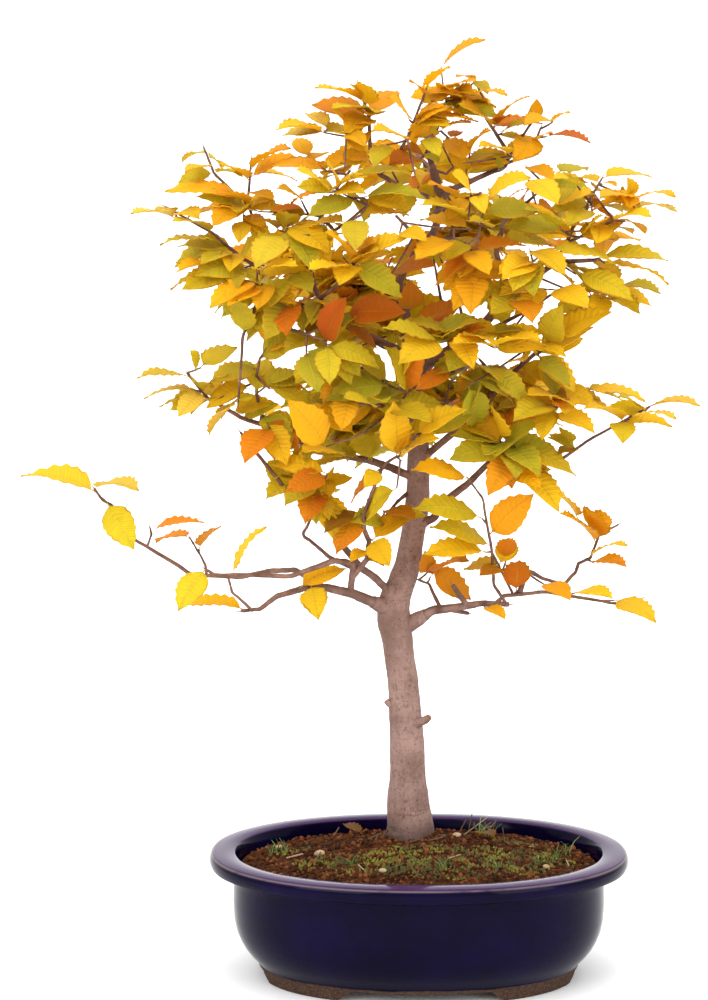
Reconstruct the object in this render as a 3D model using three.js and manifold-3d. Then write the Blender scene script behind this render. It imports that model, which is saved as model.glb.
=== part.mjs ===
import * as THREE from 'three';
import { mergeVertices } from 'three/addons/utils/BufferGeometryUtils.js';
import Module from 'manifold-3d';

const wasm = await Module();
wasm.setup();

// Driving sizes of pot and soil, in millimetres; the origin is the middle of the pot's foot
const pot = {
  rimHalfLength: 125,
  lengthOverWidth: 27.5,
  fullness: 2.15,
  height: 75,
  floorTop: 12,
  floorUnder: 7,
  footOuter: 95,
  footInner: 82,
  footHeight: 7,
  frontGap: { bottomHalf: 51, topHalf: 40 },
  endGap: { bottomHalf: 30, topHalf: 20 },
  drainHoleRadius: 7,
  drainHoleX: 45,
  facets: 26,
};
const screen = { side: 25, thick: 1.2, holes: 3, bar: 2.5 };
const soil = { wallTop: 67, crown: 79, clearance: 0.3, waveHeight: 0.9 };
const trunkFacets = 10;
const trunkClearance = 0.4;

// Driving sizes of the tree's fine parts, in millimetres
const leafWidthShare = 0.58;
const leafThickness = 1.3;
const stalkWidth = 1.3;
const stalkThickness = 0.9;
const twigRadius = 0.85;
const gap = 0.25;
const finestEdge = 0.02;
const sharpTurn = 0.1;
const longLeaf = 30;
const turnCost = 1.4;
const joinReach = 2.5;
const rootLength = 14;
const spraySeed = 20251;
const touchReach = { narrow: { leaf: 1, wood: 1.2 }, wide: { leaf: 6, wood: Infinity } };

const colours = {
  glaze: new THREE.MeshStandardMaterial({ color: 0x1a1458, roughness: 0.08, metalness: 0 }),
  soil: new THREE.MeshStandardMaterial({ color: 0x5c3114, roughness: 0.95, metalness: 0 }),
  bark: new THREE.MeshStandardMaterial({ color: 0x8f766a, roughness: 0.75, metalness: 0 }),
  foliage: new THREE.MeshStandardMaterial({ color: 0xe3b51c, roughness: 0.6, metalness: 0 }),
  net: new THREE.MeshStandardMaterial({ color: 0x20241f, roughness: 0.5, metalness: 0 }),
};

// The inside of the pot's wall from the rim down to its floor, as half length and height
const innerWall = [[109.5, 75], [106.8, 66], [105, 34], [99.5, 20], [88, pot.floorTop]];

// The trunk and leader from the root end up, as x, y, z and thickness
const trunkRings = [
  [-7, 20, 50, 31], [-5, 20, 71, 31], [-5, 20, 80, 28.5], [-6, 20, 97, 25.5], [-6, 20, 122, 21.5],
  [-7, 20, 147, 19.6], [-9, 20, 178, 18], [-11, 20, 197, 17.8], [-13, 20, 211, 19.8],
  [-13, 20, 221, 19], [-9, 20, 233, 16.5], [-6, 20, 247, 14.6], [-4, 20, 259, 14.4],
  [-2, 20, 271, 14.6], [0, 20, 298, 14], [-1, 20, 325, 12], [-3, 20, 346, 9.4], [-1, 20, 361, 9.6],
  [-5, 20, 379, 5.8], [-6, 20, 387, 5.2], [-9, 20, 400, 4.8], [-12, 20, 412, 4.6],
  [-6, 20, 424, 4.5], [0, 20, 432, 4.4], [7, 20, 440, 4.2], [12, 20, 459, 3.9], [11, 19, 471, 3.4],
];
const cutStubs = [
  { thick: [5, 4.2], through: [[-2, 18, 149], [1.5, 15, 150.5], [5.5, 13, 154]] },
  { thick: [4.6, 3.4], through: [[-14, 18, 158], [-17.5, 16, 160], [-19.5, 15, 162]] },
];

// Each branch's limbs as thickness at root and end and a route of points, and its single leaves as the
// stalk's point, the tip's point and how far the top side turns from the sky to the front, in degrees
const branches = {
  branch_low_left: {
    limbs: [
      { thick: [6.4, 1.8], through: [
        [-16, 18, 217], [-40, 2, 229], [-55, -2, 233], [-68, -4, 233], [-84, -10, 229],
        [-94, -14, 222], [-105, -16, 221],
      ] },
      { thick: [3.6, 1.6], through: [
        [-41, 2, 229], [-39, -6, 247], [-43, -8, 249], [-50, -10, 250], [-76, -18, 242],
        [-120, -26, 244], [-125, -26, 247],
      ] },
      { thick: [3, 1.4], through: [
        [-56, -2, 233], [-74, 10, 242], [-89, 14, 241], [-106, 17, 237], [-135, 18, 238],
        [-169, 6, 261], [-170, 4, 265], [-182, 0, 282], [-187, -2, 285], [-192, -2, 292],
      ] },
      { thick: [1.5, 1.1], through: [
        [-127, 18, 237], [-128, 18, 244], [-130, 20, 248], [-137, 20, 260],
      ] },
      { thick: [1.5, 1.1], through: [
        [-162, 8, 256], [-159, 6, 264], [-160, 6, 268],
      ] },
      { thick: [1.7, 1.2], through: [
        [-98, -16, 221], [-110, -20, 233], [-112, -21, 241],
      ] },
      { thick: [2.4, 1.4], through: [
        [-39, -6, 245], [-53, 6, 250], [-69, 12, 263], [-61, 12, 280],
      ] },
      { thick: [3, 1.5], through: [
        [-39, -3, 240], [-31, -10, 251], [-30, -14, 262], [-33, -18, 270], [-33, -20, 278],
        [-24, -25, 303], [-20, -27, 309], [-14, -29, 313],
      ] },
    ],
    leaves: [
      [-190, 0, 289, -237, 12, 298, 10], [-191, -4, 293, -163, -28, 293, 10],
      [-184, -6, 284, -167, -16, 257, 80], [-159, 2, 266, -127, -6, 272, 10],
      [-137, 14, 261, -159, 37, 255, 15], [-132, 24, 253, -120, 4, 268, 15],
      [-126, -28, 247, -140, -41, 224, 45], [-110, -22, 243, -89, -30, 272, 15],
      [-102, -16, 221, -141, -6, 223, 10], [-64, -10, 235, -59, -34, 218, 80],
      [-71, -12, 234, -43, 0, 244, 25], [-28, -18, 263, -18, -40, 250, 80],
      [-27, -18, 263, -5, 0, 275, 25], [-13, -30, 313, -16, -39, 346, 65],
      [-12, -30, 311, 10, -50, 325, 30], [-14, -32, 295, -31, -19, 271, 40],
      [-34, -4, 278, -56, -26, 268, 15], [-34, -6, 276, -49, -23, 255, 25],
      [-23, -22, 302, -40, 0, 283, 40],
    ],
  },
  branch_left_rising: {
    limbs: [
      { thick: [4.2, 1.5], through: [
        [-14, 20, 224], [-26, 12, 237], [-34, 10, 243], [-48, 6, 260], [-57, 3, 274],
        [-59, 0, 284], [-78, -7, 291], [-95, -13, 313], [-105, -14, 326],
      ] },
    ],
    leaves: [
      [-59, -2, 292, -67, -26, 273, 30], [-70, -2, 297, -88, 20, 301, 35],
      [-54, -20, 302, -87, -12, 306, 30], [-60, -2, 298, -76, -24, 282, 35],
      [-70, 4, 298, -90, -17, 287, 25],
    ],
  },
  branch_low_right: {
    limbs: [
      { thick: [6, 2.6], through: [
        [-7, 20, 207], [8, 13, 217], [38, 2, 223], [53, -2, 223],
      ] },
      { thick: [3.2, 2.4], through: [
        [28, 5, 222], [20, 1, 234],
      ] },
      { thick: [2.4, 2], through: [
        [19, 9, 218], [30, 9, 216],
      ] },
      { thick: [2.2, 1.2], through: [
        [13, 10, 219], [6, 16, 233], [0, 18, 235],
      ] },
      { thick: [2.2, 1.3], through: [
        [46, 0, 224], [50, -2, 228], [73, -6, 231], [116, -12, 225], [130, -12, 228],
      ] },
      { thick: [3.2, 1.4], through: [
        [59, -4, 230], [63, 2, 240], [67, 6, 241], [74, 10, 237], [89, 14, 232],
      ] },
      { thick: [1.9, 1.2], through: [
        [87, 13, 233], [94, 16, 240], [96, 18, 245], [103, 20, 248], [109, 22, 262],
        [120, 22, 268],
      ] },
      { thick: [1.8, 1.1], through: [
        [51, -1, 224], [44, -6, 235], [42, -14, 257], [36, -20, 288], [28, -20, 299],
      ] },
      { thick: [1.5, 1.1], through: [
        [55, -3, 230], [42, -14, 256],
      ] },
    ],
    leaves: [
      [42, -16, 266, 61, -24, 294, 65], [36, -20, 276, -5, -30, 282, 30],
      [40, -16, 258, 5, -25, 271, 25], [39, -18, 256, 1, -27, 255, 25],
      [47, -14, 247, 27, 8, 242, 30], [6, 6, 242, 31, 17, 223, 50],
      [7, 16, 237, 29, -11, 250, 20], [57, -6, 231, 57, -27, 252, 15],
      [27, -22, 299, -6, -34, 305, 30], [73, -8, 236, 87, -31, 229, 20],
      [105, 20, 248, 123, -3, 258, 15], [104, 16, 246, 122, -8, 246, 20],
      [91, -12, 231, 111, -37, 231, 15], [114, -14, 227, 136, -37, 217, 25],
      [108, 22, 256, 83, 0, 277, 20], [108, 20, 258, 98, -4, 281, 30],
      [110, 24, 261, 110, 5, 279, 30], [96, 24, 271, 75, 3, 291, 25],
    ],
  },
  branch_right_low: {
    limbs: [
      { thick: [4.6, 1.6], through: [
        [-2, 20, 267], [9, 14, 273], [15, 12, 283], [29, 8, 294], [48, 0, 314], [81, -8, 341],
      ] },
      { thick: [2.2, 1.2], through: [
        [47, 1, 312], [55, 0, 307], [63, -2, 306], [72, -3, 306], [84, -5, 310], [99, -8, 321],
        [134, -12, 341],
      ] },
    ],
    leaves: [
      [48, -16, 317, 16, -32, 311, 50], [54, -20, 312, 38, -39, 291, 60],
      [52, -12, 304, 69, -36, 295, 40], [59, -8, 304, 79, -20, 277, 25],
      [51, -18, 321, 83, -9, 306, 50], [50, -12, 316, 90, -23, 301, 20],
      [46, -20, 322, 39, -43, 343, 40], [51, -16, 321, 56, 7, 342, 50],
      [77, -18, 342, 52, -43, 334, 35], [80, -16, 345, 60, -38, 349, 25],
      [80, -14, 342, 97, 8, 331, 35], [77, -18, 337, 99, -41, 327, 20],
      [133, -14, 341, 161, -29, 342, 10], [122, -14, 334, 146, -39, 335, 5],
      [131, -10, 337, 115, -29, 346, 25], [118, -14, 331, 93, -36, 341, 10],
    ],
  },
  branch_right_mid: {
    limbs: [
      { thick: [4, 1.6], through: [
        [0, 20, 306], [21, 8, 325], [24, 6, 330], [31, 2, 332], [37, -2, 339], [49, -8, 356],
        [84, -16, 387],
      ] },
      { thick: [2.2, 1.3], through: [
        [41, -4, 347], [43, -2, 359], [35, 2, 368],
      ] },
    ],
    leaves: [
      [68, -24, 371, 90, -15, 349, 45], [60, -22, 374, 82, -44, 371, 20],
      [76, -24, 381, 109, -33, 396, 40], [72, -24, 379, 71, -47, 399, 60],
      [41, -6, 338, 34, 18, 317, 25], [27, -30, 354, 33, -11, 328, 55],
      [35, -14, 364, 26, 7, 349, 25], [25, -30, 373, 23, -53, 354, 50],
      [46, 10, 347, 61, 31, 356, 25], [71, 4, 347, 55, -16, 354, 25],
      [99, 6, 350, 132, -4, 343, 15], [89, 2, 347, 106, 23, 338, 20],
      [16, -14, 331, -5, -38, 326, 25], [-4, -38, 326, 26, -46, 341, 35],
    ],
  },
  branch_right_main: {
    limbs: [
      { thick: [6.6, 2], through: [
        [-1, 20, 361], [28, 8, 379], [36, 4, 386], [46, 0, 399], [75, -10, 422], [81, -12, 425],
        [102, -14, 426],
      ] },
      { thick: [3.4, 1.5], through: [
        [56, -4, 408], [48, 0, 416], [45, 4, 431], [49, 2, 448], [66, -6, 463],
      ] },
      { thick: [2.4, 1.4], through: [
        [35, 4, 385], [42, -4, 386], [62, -16, 397], [75, -22, 406],
      ] },
      { thick: [2, 1.2], through: [
        [77, -11, 423], [84, -14, 435], [111, -20, 449],
      ] },
      { thick: [2, 1.2], through: [
        [84, -14, 435], [89, -10, 446], [96, -8, 452], [97, -8, 459], [105, -8, 473],
      ] },
      { thick: [1.9, 1.2], through: [
        [28, 8, 379], [22, -2, 405], [12, -6, 426],
      ] },
      { thick: [1.9, 1.2], through: [
        [18, 12, 374], [8, 0, 426],
      ] },
    ],
    leaves: [
      [10, -46, 379, -23, -60, 387, 25], [11, -46, 378, -14, -71, 367, 40],
      [12, -30, 379, 32, -53, 391, 30], [42, -42, 376, 15, -61, 378, 20],
      [41, -36, 376, 64, -63, 380, 15], [-3, -24, 384, 25, -16, 402, 35],
      [29, -34, 420, 27, -57, 395, 40], [26, -40, 431, 37, -62, 417, 35],
      [45, -36, 416, 50, -17, 391, 60], [57, -28, 405, 52, -54, 382, 35],
      [63, -40, 425, 48, -17, 414, 40], [75, -36, 409, 93, -62, 398, 40],
      [88, -30, 418, 121, -39, 402, 35], [106, 10, 403, 127, -16, 395, 15],
      [118, 14, 411, 140, -8, 406, 15], [102, -22, 427, 141, -32, 425, 20],
      [106, -20, 424, 144, -10, 411, 10], [72, -40, 432, 110, -30, 424, 20],
      [61, -44, 431, 79, -68, 417, 20], [45, -34, 437, 75, -20, 434, 30],
      [79, -38, 443, 56, -64, 453, 20], [36, -44, 462, 60, -65, 471, 45],
      [60, -40, 471, 75, -64, 456, 30], [98, -38, 463, 79, -15, 456, 40],
      [81, 14, 477, 101, 36, 479, 20], [62, 0, 480, 76, -22, 470, 15],
      [106, -6, 473, 136, 8, 474, 15], [125, -14, 461, 144, -39, 461, 15],
      [124, -10, 456, 151, 8, 454, 5], [123, -20, 460, 100, -44, 460, 15],
      [98, 0, 456, 121, 23, 454, 15], [110, -26, 448, 129, -50, 450, 25],
      [103, -26, 444, 124, -4, 441, 20], [98, -22, 454, 82, -42, 444, 25],
      [114, 10, 438, 132, 30, 437, 25],
    ],
  },
  branch_top_right: {
    limbs: [
      { thick: [3.4, 1.5], through: [
        [11, 20, 461], [18, 18, 467], [50, 10, 481], [52, 8, 488], [38, 4, 509],
      ] },
      { thick: [1.8, 1.2], through: [
        [52, 9, 486], [67, 4, 509],
      ] },
      { thick: [1.8, 1.2], through: [
        [50, 10, 482], [59, 14, 486], [67, 16, 493], [71, 16, 503],
      ] },
    ],
    leaves: [
      [42, 0, 502, 62, -23, 519, 25], [76, -8, 506, 58, -28, 502, 30],
      [74, 10, 498, 98, -11, 493, 10], [52, -10, 486, 32, -33, 490, 20],
      [26, -12, 482, 15, 9, 497, 30], [48, 16, 488, 29, -6, 482, 15],
    ],
  },
  branch_left_main: {
    limbs: [
      { thick: [5.6, 1.8], through: [
        [-3, 20, 365], [-14, 10, 373], [-41, -2, 387], [-55, -6, 395], [-76, -10, 402],
        [-95, -12, 412],
      ] },
      { thick: [2.6, 1.3], through: [
        [-54, -6, 395], [-58, -14, 404], [-49, -24, 411], [-38, -36, 424],
      ] },
      { thick: [3, 1.4], through: [
        [-55, -6, 396], [-62, 2, 410], [-65, 4, 425], [-63, 0, 439], [-58, -6, 451],
        [-51, -12, 459], [-48, -16, 468], [-41, -20, 477],
      ] },
      { thick: [2.2, 1.2], through: [
        [-58, -6, 451], [-50, -22, 443], [-43, -28, 447], [-31, -34, 457],
      ] },
      { thick: [2.4, 1.2], through: [
        [-94, -12, 411], [-96, -4, 437], [-103, 0, 452],
      ] },
      { thick: [2, 1.1], through: [
        [-95, -8, 422], [-104, -4, 427], [-122, 0, 442], [-149, 2, 457],
      ] },
      { thick: [2, 1.1], through: [
        [-96, -4, 437], [-98, 4, 450], [-101, 8, 460], [-99, 8, 484],
      ] },
      { thick: [1.8, 1.1], through: [
        [-101, 7, 457], [-121, 12, 477], [-127, 12, 492],
      ] },
      { thick: [2, 1.1], through: [
        [-93, -12, 410], [-95, -16, 401], [-103, -18, 382], [-106, -15, 344],
      ] },
      { thick: [2, 1.2], through: [
        [-75, -10, 402], [-76, -18, 393], [-75, -22, 386], [-57, -26, 380],
      ] },
    ],
    leaves: [
      [-143, 2, 450, -167, -24, 452, 5], [-121, -2, 443, -143, -26, 448, 15],
      [-116, -6, 436, -151, -15, 434, 5], [-100, 4, 472, -116, -19, 480, 20],
      [-98, 6, 478, -75, -14, 490, 25], [-103, 0, 461, -147, 11, 470, 20],
      [-94, -6, 454, -136, 5, 451, 10], [-99, -4, 458, -118, -27, 463, 10],
      [-82, -10, 443, -98, -31, 449, 20], [-79, -30, 440, -94, -58, 420, 30],
      [-94, -34, 419, -70, -57, 422, 25], [-64, -36, 440, -70, -14, 423, 45],
      [-110, -6, 429, -127, -29, 423, 15], [-119, -8, 422, -140, -31, 419, 15],
      [-111, -10, 419, -146, -1, 408, 15], [-97, -18, 414, -121, -39, 398, 20],
      [-92, -14, 412, -120, -6, 395, 20], [-103, -18, 383, -106, -41, 403, 35],
      [-77, -8, 404, -101, -17, 379, 25], [-63, 4, 396, -85, -17, 385, 30],
      [-75, -24, 418, -62, -44, 407, 50], [-60, -4, 381, -79, -28, 373, 40],
      [-55, -18, 477, -87, -10, 480, 25], [-48, -34, 465, -75, -18, 458, 20],
      [-54, -34, 464, -71, -58, 476, 40], [-34, -40, 461, 2, -49, 460, 20],
      [-31, -42, 457, -9, -20, 460, 15], [-35, -44, 451, -9, -28, 452, 20],
      [-43, -40, 447, -67, -20, 443, 25], [-38, -46, 449, -38, -67, 430, 50],
      [-40, -44, 424, -55, -69, 441, 35], [-38, -50, 423, -9, -60, 438, 35],
      [-37, -50, 422, -23, -28, 405, 45], [-41, -44, 420, -64, -70, 420, 15],
      [-55, -28, 378, -43, -45, 405, 50], [-44, -30, 395, -9, -39, 396, 60],
      [-46, -34, 389, -25, -16, 374, 40], [-54, -42, 377, -24, -34, 369, 35],
      [-54, -40, 377, -45, -61, 362, 45], [-66, -36, 372, -59, -59, 351, 40],
      [-106, -20, 343, -124, -1, 323, 20],
    ],
  },
  branch_left_mid: {
    limbs: [
      { thick: [3.6, 1.4], through: [
        [-4, 20, 340], [-7, 15, 347], [-21, 4, 355], [-44, -8, 368], [-64, -18, 373],
      ] },
    ],
    leaves: [
      [-19, -30, 354, -54, -39, 342, 45], [-8, -26, 350, -22, -44, 377, 40],
      [-11, -20, 345, -32, -44, 342, 35], [-55, -22, 371, -72, -44, 355, 30],
      [-55, -34, 319, -77, -48, 347, 65], [-47, 0, 356, -65, 22, 342, 25],
      [-40, -30, 351, -46, -51, 329, 30],
    ],
  },
  branch_left_low: {
    limbs: [
      { thick: [4.4, 1.5], through: [
        [0, 20, 293], [-6, 17, 298], [-17, 16, 303], [-29, 16, 307], [-60, 13, 313],
        [-87, 9, 327], [-105, 7, 333], [-125, 4, 345], [-137, 2, 360],
      ] },
      { thick: [2, 1.2], through: [
        [-94, 8, 330], [-93, 6, 335], [-96, 2, 347], [-96, 0, 358], [-94, -2, 368],
        [-89, -3, 376],
      ] },
      { thick: [2.2, 1.4], through: [
        [-7, 18, 287], [-13, 8, 283], [-21, 0, 274],
      ] },
    ],
    leaves: [
      [-88, -8, 328, -102, -32, 309, 25], [-86, -8, 328, -86, 15, 307, 30],
      [-134, 0, 357, -165, -13, 357, 10], [-132, -2, 350, -163, 6, 344, 10],
      [-129, -4, 363, -108, 15, 374, 30], [-116, -4, 346, -136, 19, 334, 20],
      [-122, 4, 346, -112, -15, 360, 20], [-96, 2, 362, -117, -18, 350, 40],
      [-89, -4, 374, -81, 15, 397, 25], [-88, -10, 351, -69, 13, 342, 30],
      [-96, -6, 348, -82, 17, 360, 30], [-44, -16, 312, -69, -41, 320, 15],
      [-28, 0, 308, -44, 21, 313, 40], [-21, -6, 279, -3, -29, 276, 20],
      [-70, 4, 316, -87, -17, 315, 20],
    ],
  },
  branch_top_left: {
    limbs: [
      { thick: [3, 1.4], through: [
        [12, 20, 460], [-1, 8, 465], [-12, 2, 469], [-24, -2, 476], [-29, -4, 484],
        [-30, -8, 508], [-36, -8, 527],
      ] },
      { thick: [2, 1.2], through: [
        [-24, -2, 476], [-18, -8, 480], [-12, -12, 489], [-7, -14, 498], [3, -14, 524],
      ] },
    ],
    leaves: [
      [3, -14, 524, 16, -36, 534, 30], [-1, -20, 506, 33, -11, 505, 15],
      [-7, -18, 506, -20, -39, 517, 50], [-29, -14, 509, -16, 8, 525, 30],
      [-34, -10, 516, -61, -30, 523, 10], [-28, -18, 509, -52, -40, 511, 15],
      [-56, -14, 499, -83, -36, 499, 15], [-8, -30, 493, -29, -54, 497, 30],
      [-4, -34, 474, -41, -43, 472, 15], [-12, -6, 469, -4, 17, 451, 40],
    ],
  },
  branch_top: {
    limbs: [
      { thick: [3.4, 1.2], through: [
        [10, 18, 472], [6, 14, 486], [7, 12, 496], [11, 10, 506], [23, 6, 522],
      ] },
      { thick: [1.6, 1.1], through: [
        [8, 17, 479], [16, 22, 477], [20, 24, 481], [14, 24, 493],
      ] },
    ],
    leaves: [
      [12, 2, 537, 37, -12, 552, 25], [12, 0, 521, 32, -25, 527, 20],
      [25, -4, 519, 49, -26, 519, 15], [12, 4, 501, 29, -17, 504, 15],
      [-1, -8, 484, -20, -31, 476, 45],
    ],
  },
  branch_back_low_left: {
    limbs: [
      { thick: [3.8, 1.4], sprays: [3, 0.35], through: [
        [-1, 20, 316], [-6, 30, 321], [-16, 52, 324], [-33, 78, 328], [-50, 98, 334],
      ] },
    ],
    leaves: [],
  },
  branch_back_low_right: {
    limbs: [
      { thick: [3.8, 1.4], sprays: [3, 0.35], through: [
        [-2, 20, 329], [17, 56, 339], [34, 84, 344], [51, 104, 349],
      ] },
    ],
    leaves: [],
  },
  branch_back_mid: {
    limbs: [
      { thick: [3.8, 1.4], sprays: [4, 0.25], through: [
        [-5, 20, 375], [-15, 60, 389], [-25, 92, 398], [-31, 120, 408],
      ] },
    ],
    leaves: [],
  },
  branch_back_left: {
    limbs: [
      { thick: [3.4, 1.3], sprays: [4, 0.25], through: [
        [-9, 20, 396], [-13, 30, 401], [-28, 52, 410], [-50, 78, 422], [-73, 96, 433],
      ] },
    ],
    leaves: [],
  },
  branch_back_right: {
    limbs: [
      { thick: [3.4, 1.3], sprays: [4, 0.25], through: [
        [-2, 20, 429], [3, 30, 434], [20, 54, 440], [66, 104, 454],
      ] },
    ],
    leaves: [],
  },
  branch_back_top: {
    limbs: [
      { thick: [3, 1.2], sprays: [4, 0.2], through: [
        [11, 18, 468], [7, 50, 482], [-2, 98, 495],
      ] },
    ],
    leaves: [],
  },
  branch_front_left: {
    limbs: [
      { thick: [3.4, 1.4], through: [
        [-3, 20, 336], [-6, 10, 335], [-25, -34, 343], [-36, -56, 345],
      ] },
    ],
    leaves: [
      [-27, -50, 342, -45, -72, 349, 35], [-17, -30, 340, 5, -56, 334, 30],
    ],
  },
  branch_front_right: {
    limbs: [
      { thick: [3.4, 1.4], through: [
        [-1, 20, 350], [9, -12, 357], [27, -54, 366],
      ] },
    ],
    leaves: [
      [21, -40, 362, 3, -18, 358, 35],
    ],
  },
  branch_front_upper: {
    limbs: [
      { thick: [3.2, 1.3], through: [
        [3, 20, 435], [-15, -62, 450],
      ] },
    ],
    leaves: [
      [27, -50, 443, -1, -35, 448, 20], [18, -46, 436, -5, -72, 425, 25],
      [-17, -20, 418, 8, -43, 422, 40], [-6, -16, 397, -7, -37, 415, 60],
    ],
  },
  branch_front_upper_right: {
    limbs: [
      { thick: [3.2, 1.3], through: [
        [11, 20, 454], [32, -58, 463],
      ] },
    ],
    leaves: [
      [26, -44, 449, -2, -66, 456, 20], [19, -40, 461, 2, -60, 467, 20],
      [27, -50, 463, 15, -70, 474, 55],
    ],
  },
};

function seededDraw(seed) {
  let state = seed;
  return () => {
    state = (state * 1664525 + 1013904223) % 4294967296;
    return state / 4294967296;
  };
}

function toSolid(geometry) {
  const bare = geometry.clone();
  bare.deleteAttribute('normal');
  bare.deleteAttribute('uv');
  const merged = mergeVertices(bare, 1e-4);
  return new wasm.Manifold(new wasm.Mesh({
    numProp: 3,
    vertProperties: new Float32Array(merged.attributes.position.array),
    triVerts: new Uint32Array(merged.index.array),
  }));
}

function toGeometry(solid) {
  const mesh = solid.getMesh();
  const geometry = new THREE.BufferGeometry();
  geometry.setAttribute('position', new THREE.BufferAttribute(new Float32Array(mesh.vertProperties), 3));
  geometry.setIndex(new THREE.BufferAttribute(new Uint32Array(mesh.triVerts), 1));
  geometry.computeVertexNormals();
  return geometry;
}

function largestBody(solid) {
  const bodies = solid.decompose();
  return bodies.reduce((best, body) => (body.volume() > best.volume() ? body : best));
}

const toVector = ([x, y, z]) => new THREE.Vector3(x, y, z);

// A round limb that follows a route of points and tapers from its root to its end
function limbSolid(route, radii, sides) {
  const rings = route.length;
  const geometry = new THREE.CylinderGeometry(1, 1, 1, sides, rings - 1);
  const spot = geometry.attributes.position;
  const frames = [];
  let across = null;
  for (let i = 0; i < rings; i += 1) {
    const before = route[Math.max(0, i - 1)];
    const after = route[Math.min(rings - 1, i + 1)];
    const along = after.clone().sub(before).normalize();
    if (across === null) {
      const helper = Math.abs(along.z) < 0.9 ? new THREE.Vector3(0, 0, 1) : new THREE.Vector3(1, 0, 0);
      across = helper.sub(along.clone().multiplyScalar(helper.dot(along))).normalize();
    } else {
      across = across.clone().sub(along.clone().multiplyScalar(across.dot(along))).normalize();
    }
    frames.push({ centre: route[i], across, other: along.clone().cross(across), radius: radii[i] });
  }
  for (let i = 0; i < spot.count; i += 1) {
    const frame = frames[Math.round((spot.getY(i) + 0.5) * (rings - 1))];
    const place = frame.centre.clone();
    place.addScaledVector(frame.across, spot.getZ(i) * frame.radius);
    place.addScaledVector(frame.other, spot.getX(i) * frame.radius);
    spot.setXYZ(i, place.x, place.y, place.z);
  }
  return toSolid(geometry);
}

function taper(route, thick) {
  const reach = [0];
  for (let i = 1; i < route.length; i += 1) reach.push(reach[i - 1] + route[i].distanceTo(route[i - 1]));
  return reach.map((r) => (thick[0] + (thick[1] - thick[0]) * (r / reach[reach.length - 1])) / 2);
}

// A thin leaf blade with a waved edge on its own twig; its two faces are split into triangles alike
const bladeShape = {
  fine: { at: [0.24, 0.5, 0.79], wide: [0.86, 1, 0.58], wave: [1, -1, 1], rib: 0.5 },
  plain: { at: [0.32, 0.7], wide: [0.96, 0.8], wave: [-1, 1], rib: 0.5 },
};
const waveHeight = 0.9;
const archShare = 0.1;

function bladeSolid(leaf, shape) {
  const along = leaf.tip.clone().sub(leaf.stalk);
  const long = along.length();
  along.normalize();
  const up = leaf.face.clone().sub(along.clone().multiplyScalar(leaf.face.dot(along))).normalize();
  const side = along.clone().cross(up);
  const points = [];
  const faces = [];
  const addPoint = (place) => points.push(place.x, place.y, place.z) / 3 - 1;
  const put = (share, across, high) => addPoint(leaf.stalk.clone()
    .addScaledVector(along, share * long)
    .addScaledVector(side, across)
    .addScaledVector(up, high + archShare * long * 4 * share * (1 - share)));

  // The foot of the blade is a small triangle, and the twig is a tube of three sides on it
  const foot = leaf.twig ? 1 : 0.4;
  let ring = [[-0.5, -0.4], [0.5, -0.4], [0, 0.6]].map(([wide, deep]) => (
    put(0, wide * stalkWidth * foot, deep * stalkThickness * foot)));
  const [left, right, top] = ring;
  for (const [place, way, share] of leaf.twig ?? []) {
    const across = side.clone().sub(way.clone().multiplyScalar(side.dot(way))).normalize();
    const high = across.clone().cross(way);
    const next = [[-0.5, -0.4], [0.5, -0.4], [0, 0.6]].map(([wide, deep]) => addPoint(place.clone()
      .addScaledVector(across, wide * stalkWidth * share)
      .addScaledVector(high, deep * stalkThickness * share)));
    for (let i = 0; i < 3; i += 1) {
      const j = (i + 1) % 3;
      faces.push(ring[i], ring[j], next[j], ring[i], next[j], next[i]);
    }
    ring = next;
  }
  faces.push(ring[0], ring[1], ring[2]);

  const halfWidth = (long * leafWidthShare) / 2;
  const end = put(1, 0, 0);
  const edges = [-1, 1].map((hand) => [hand < 0 ? left : right].concat(
    shape.at.map((share, i) => put(share, hand * halfWidth * shape.wide[i], waveHeight * shape.wave[i])),
    [end],
  ));
  const upper = put(shape.rib, 0, leafThickness / 2);
  const under = put(shape.rib, 0, -leafThickness / 2);
  const fan = (middle, edge, flip) => {
    for (let i = 1; i < edge.length; i += 1) {
      faces.push(...(flip ? [middle, edge[i], edge[i - 1]] : [middle, edge[i - 1], edge[i]]));
    }
  };
  fan(upper, [top, ...edges[0]], true);
  fan(upper, [top, ...edges[1]], false);
  fan(under, [right, ...edges[0]], false);
  fan(under, edges[1], true);
  const geometry = new THREE.BufferGeometry();
  geometry.setAttribute('position', new THREE.Float32BufferAttribute(points, 3));
  geometry.setIndex(faces);
  return toSolid(geometry);
}

// The oval plan of pot and soil: a ring of the given half length, as a slightly full ellipse
function ovalSolid(profile) {
  const geometry = new THREE.LatheGeometry(profile.map(([r, z]) => new THREE.Vector2(r, z)), pot.facets);
  const spot = geometry.attributes.position;
  const power = 2 / pot.fullness;
  const swell = (value) => Math.sign(value) * Math.abs(value) ** power;
  for (let i = 0; i < spot.count; i += 1) {
    const halfLength = Math.hypot(spot.getX(i), spot.getZ(i));
    const angle = Math.atan2(-spot.getZ(i), spot.getX(i));
    const halfWidth = halfLength - pot.lengthOverWidth * Math.min(1, halfLength / 80);
    const height = spot.getY(i);
    spot.setXYZ(i, halfLength * swell(Math.cos(angle)), halfWidth * swell(Math.sin(angle)), height);
  }
  return toSolid(geometry);
}

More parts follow.
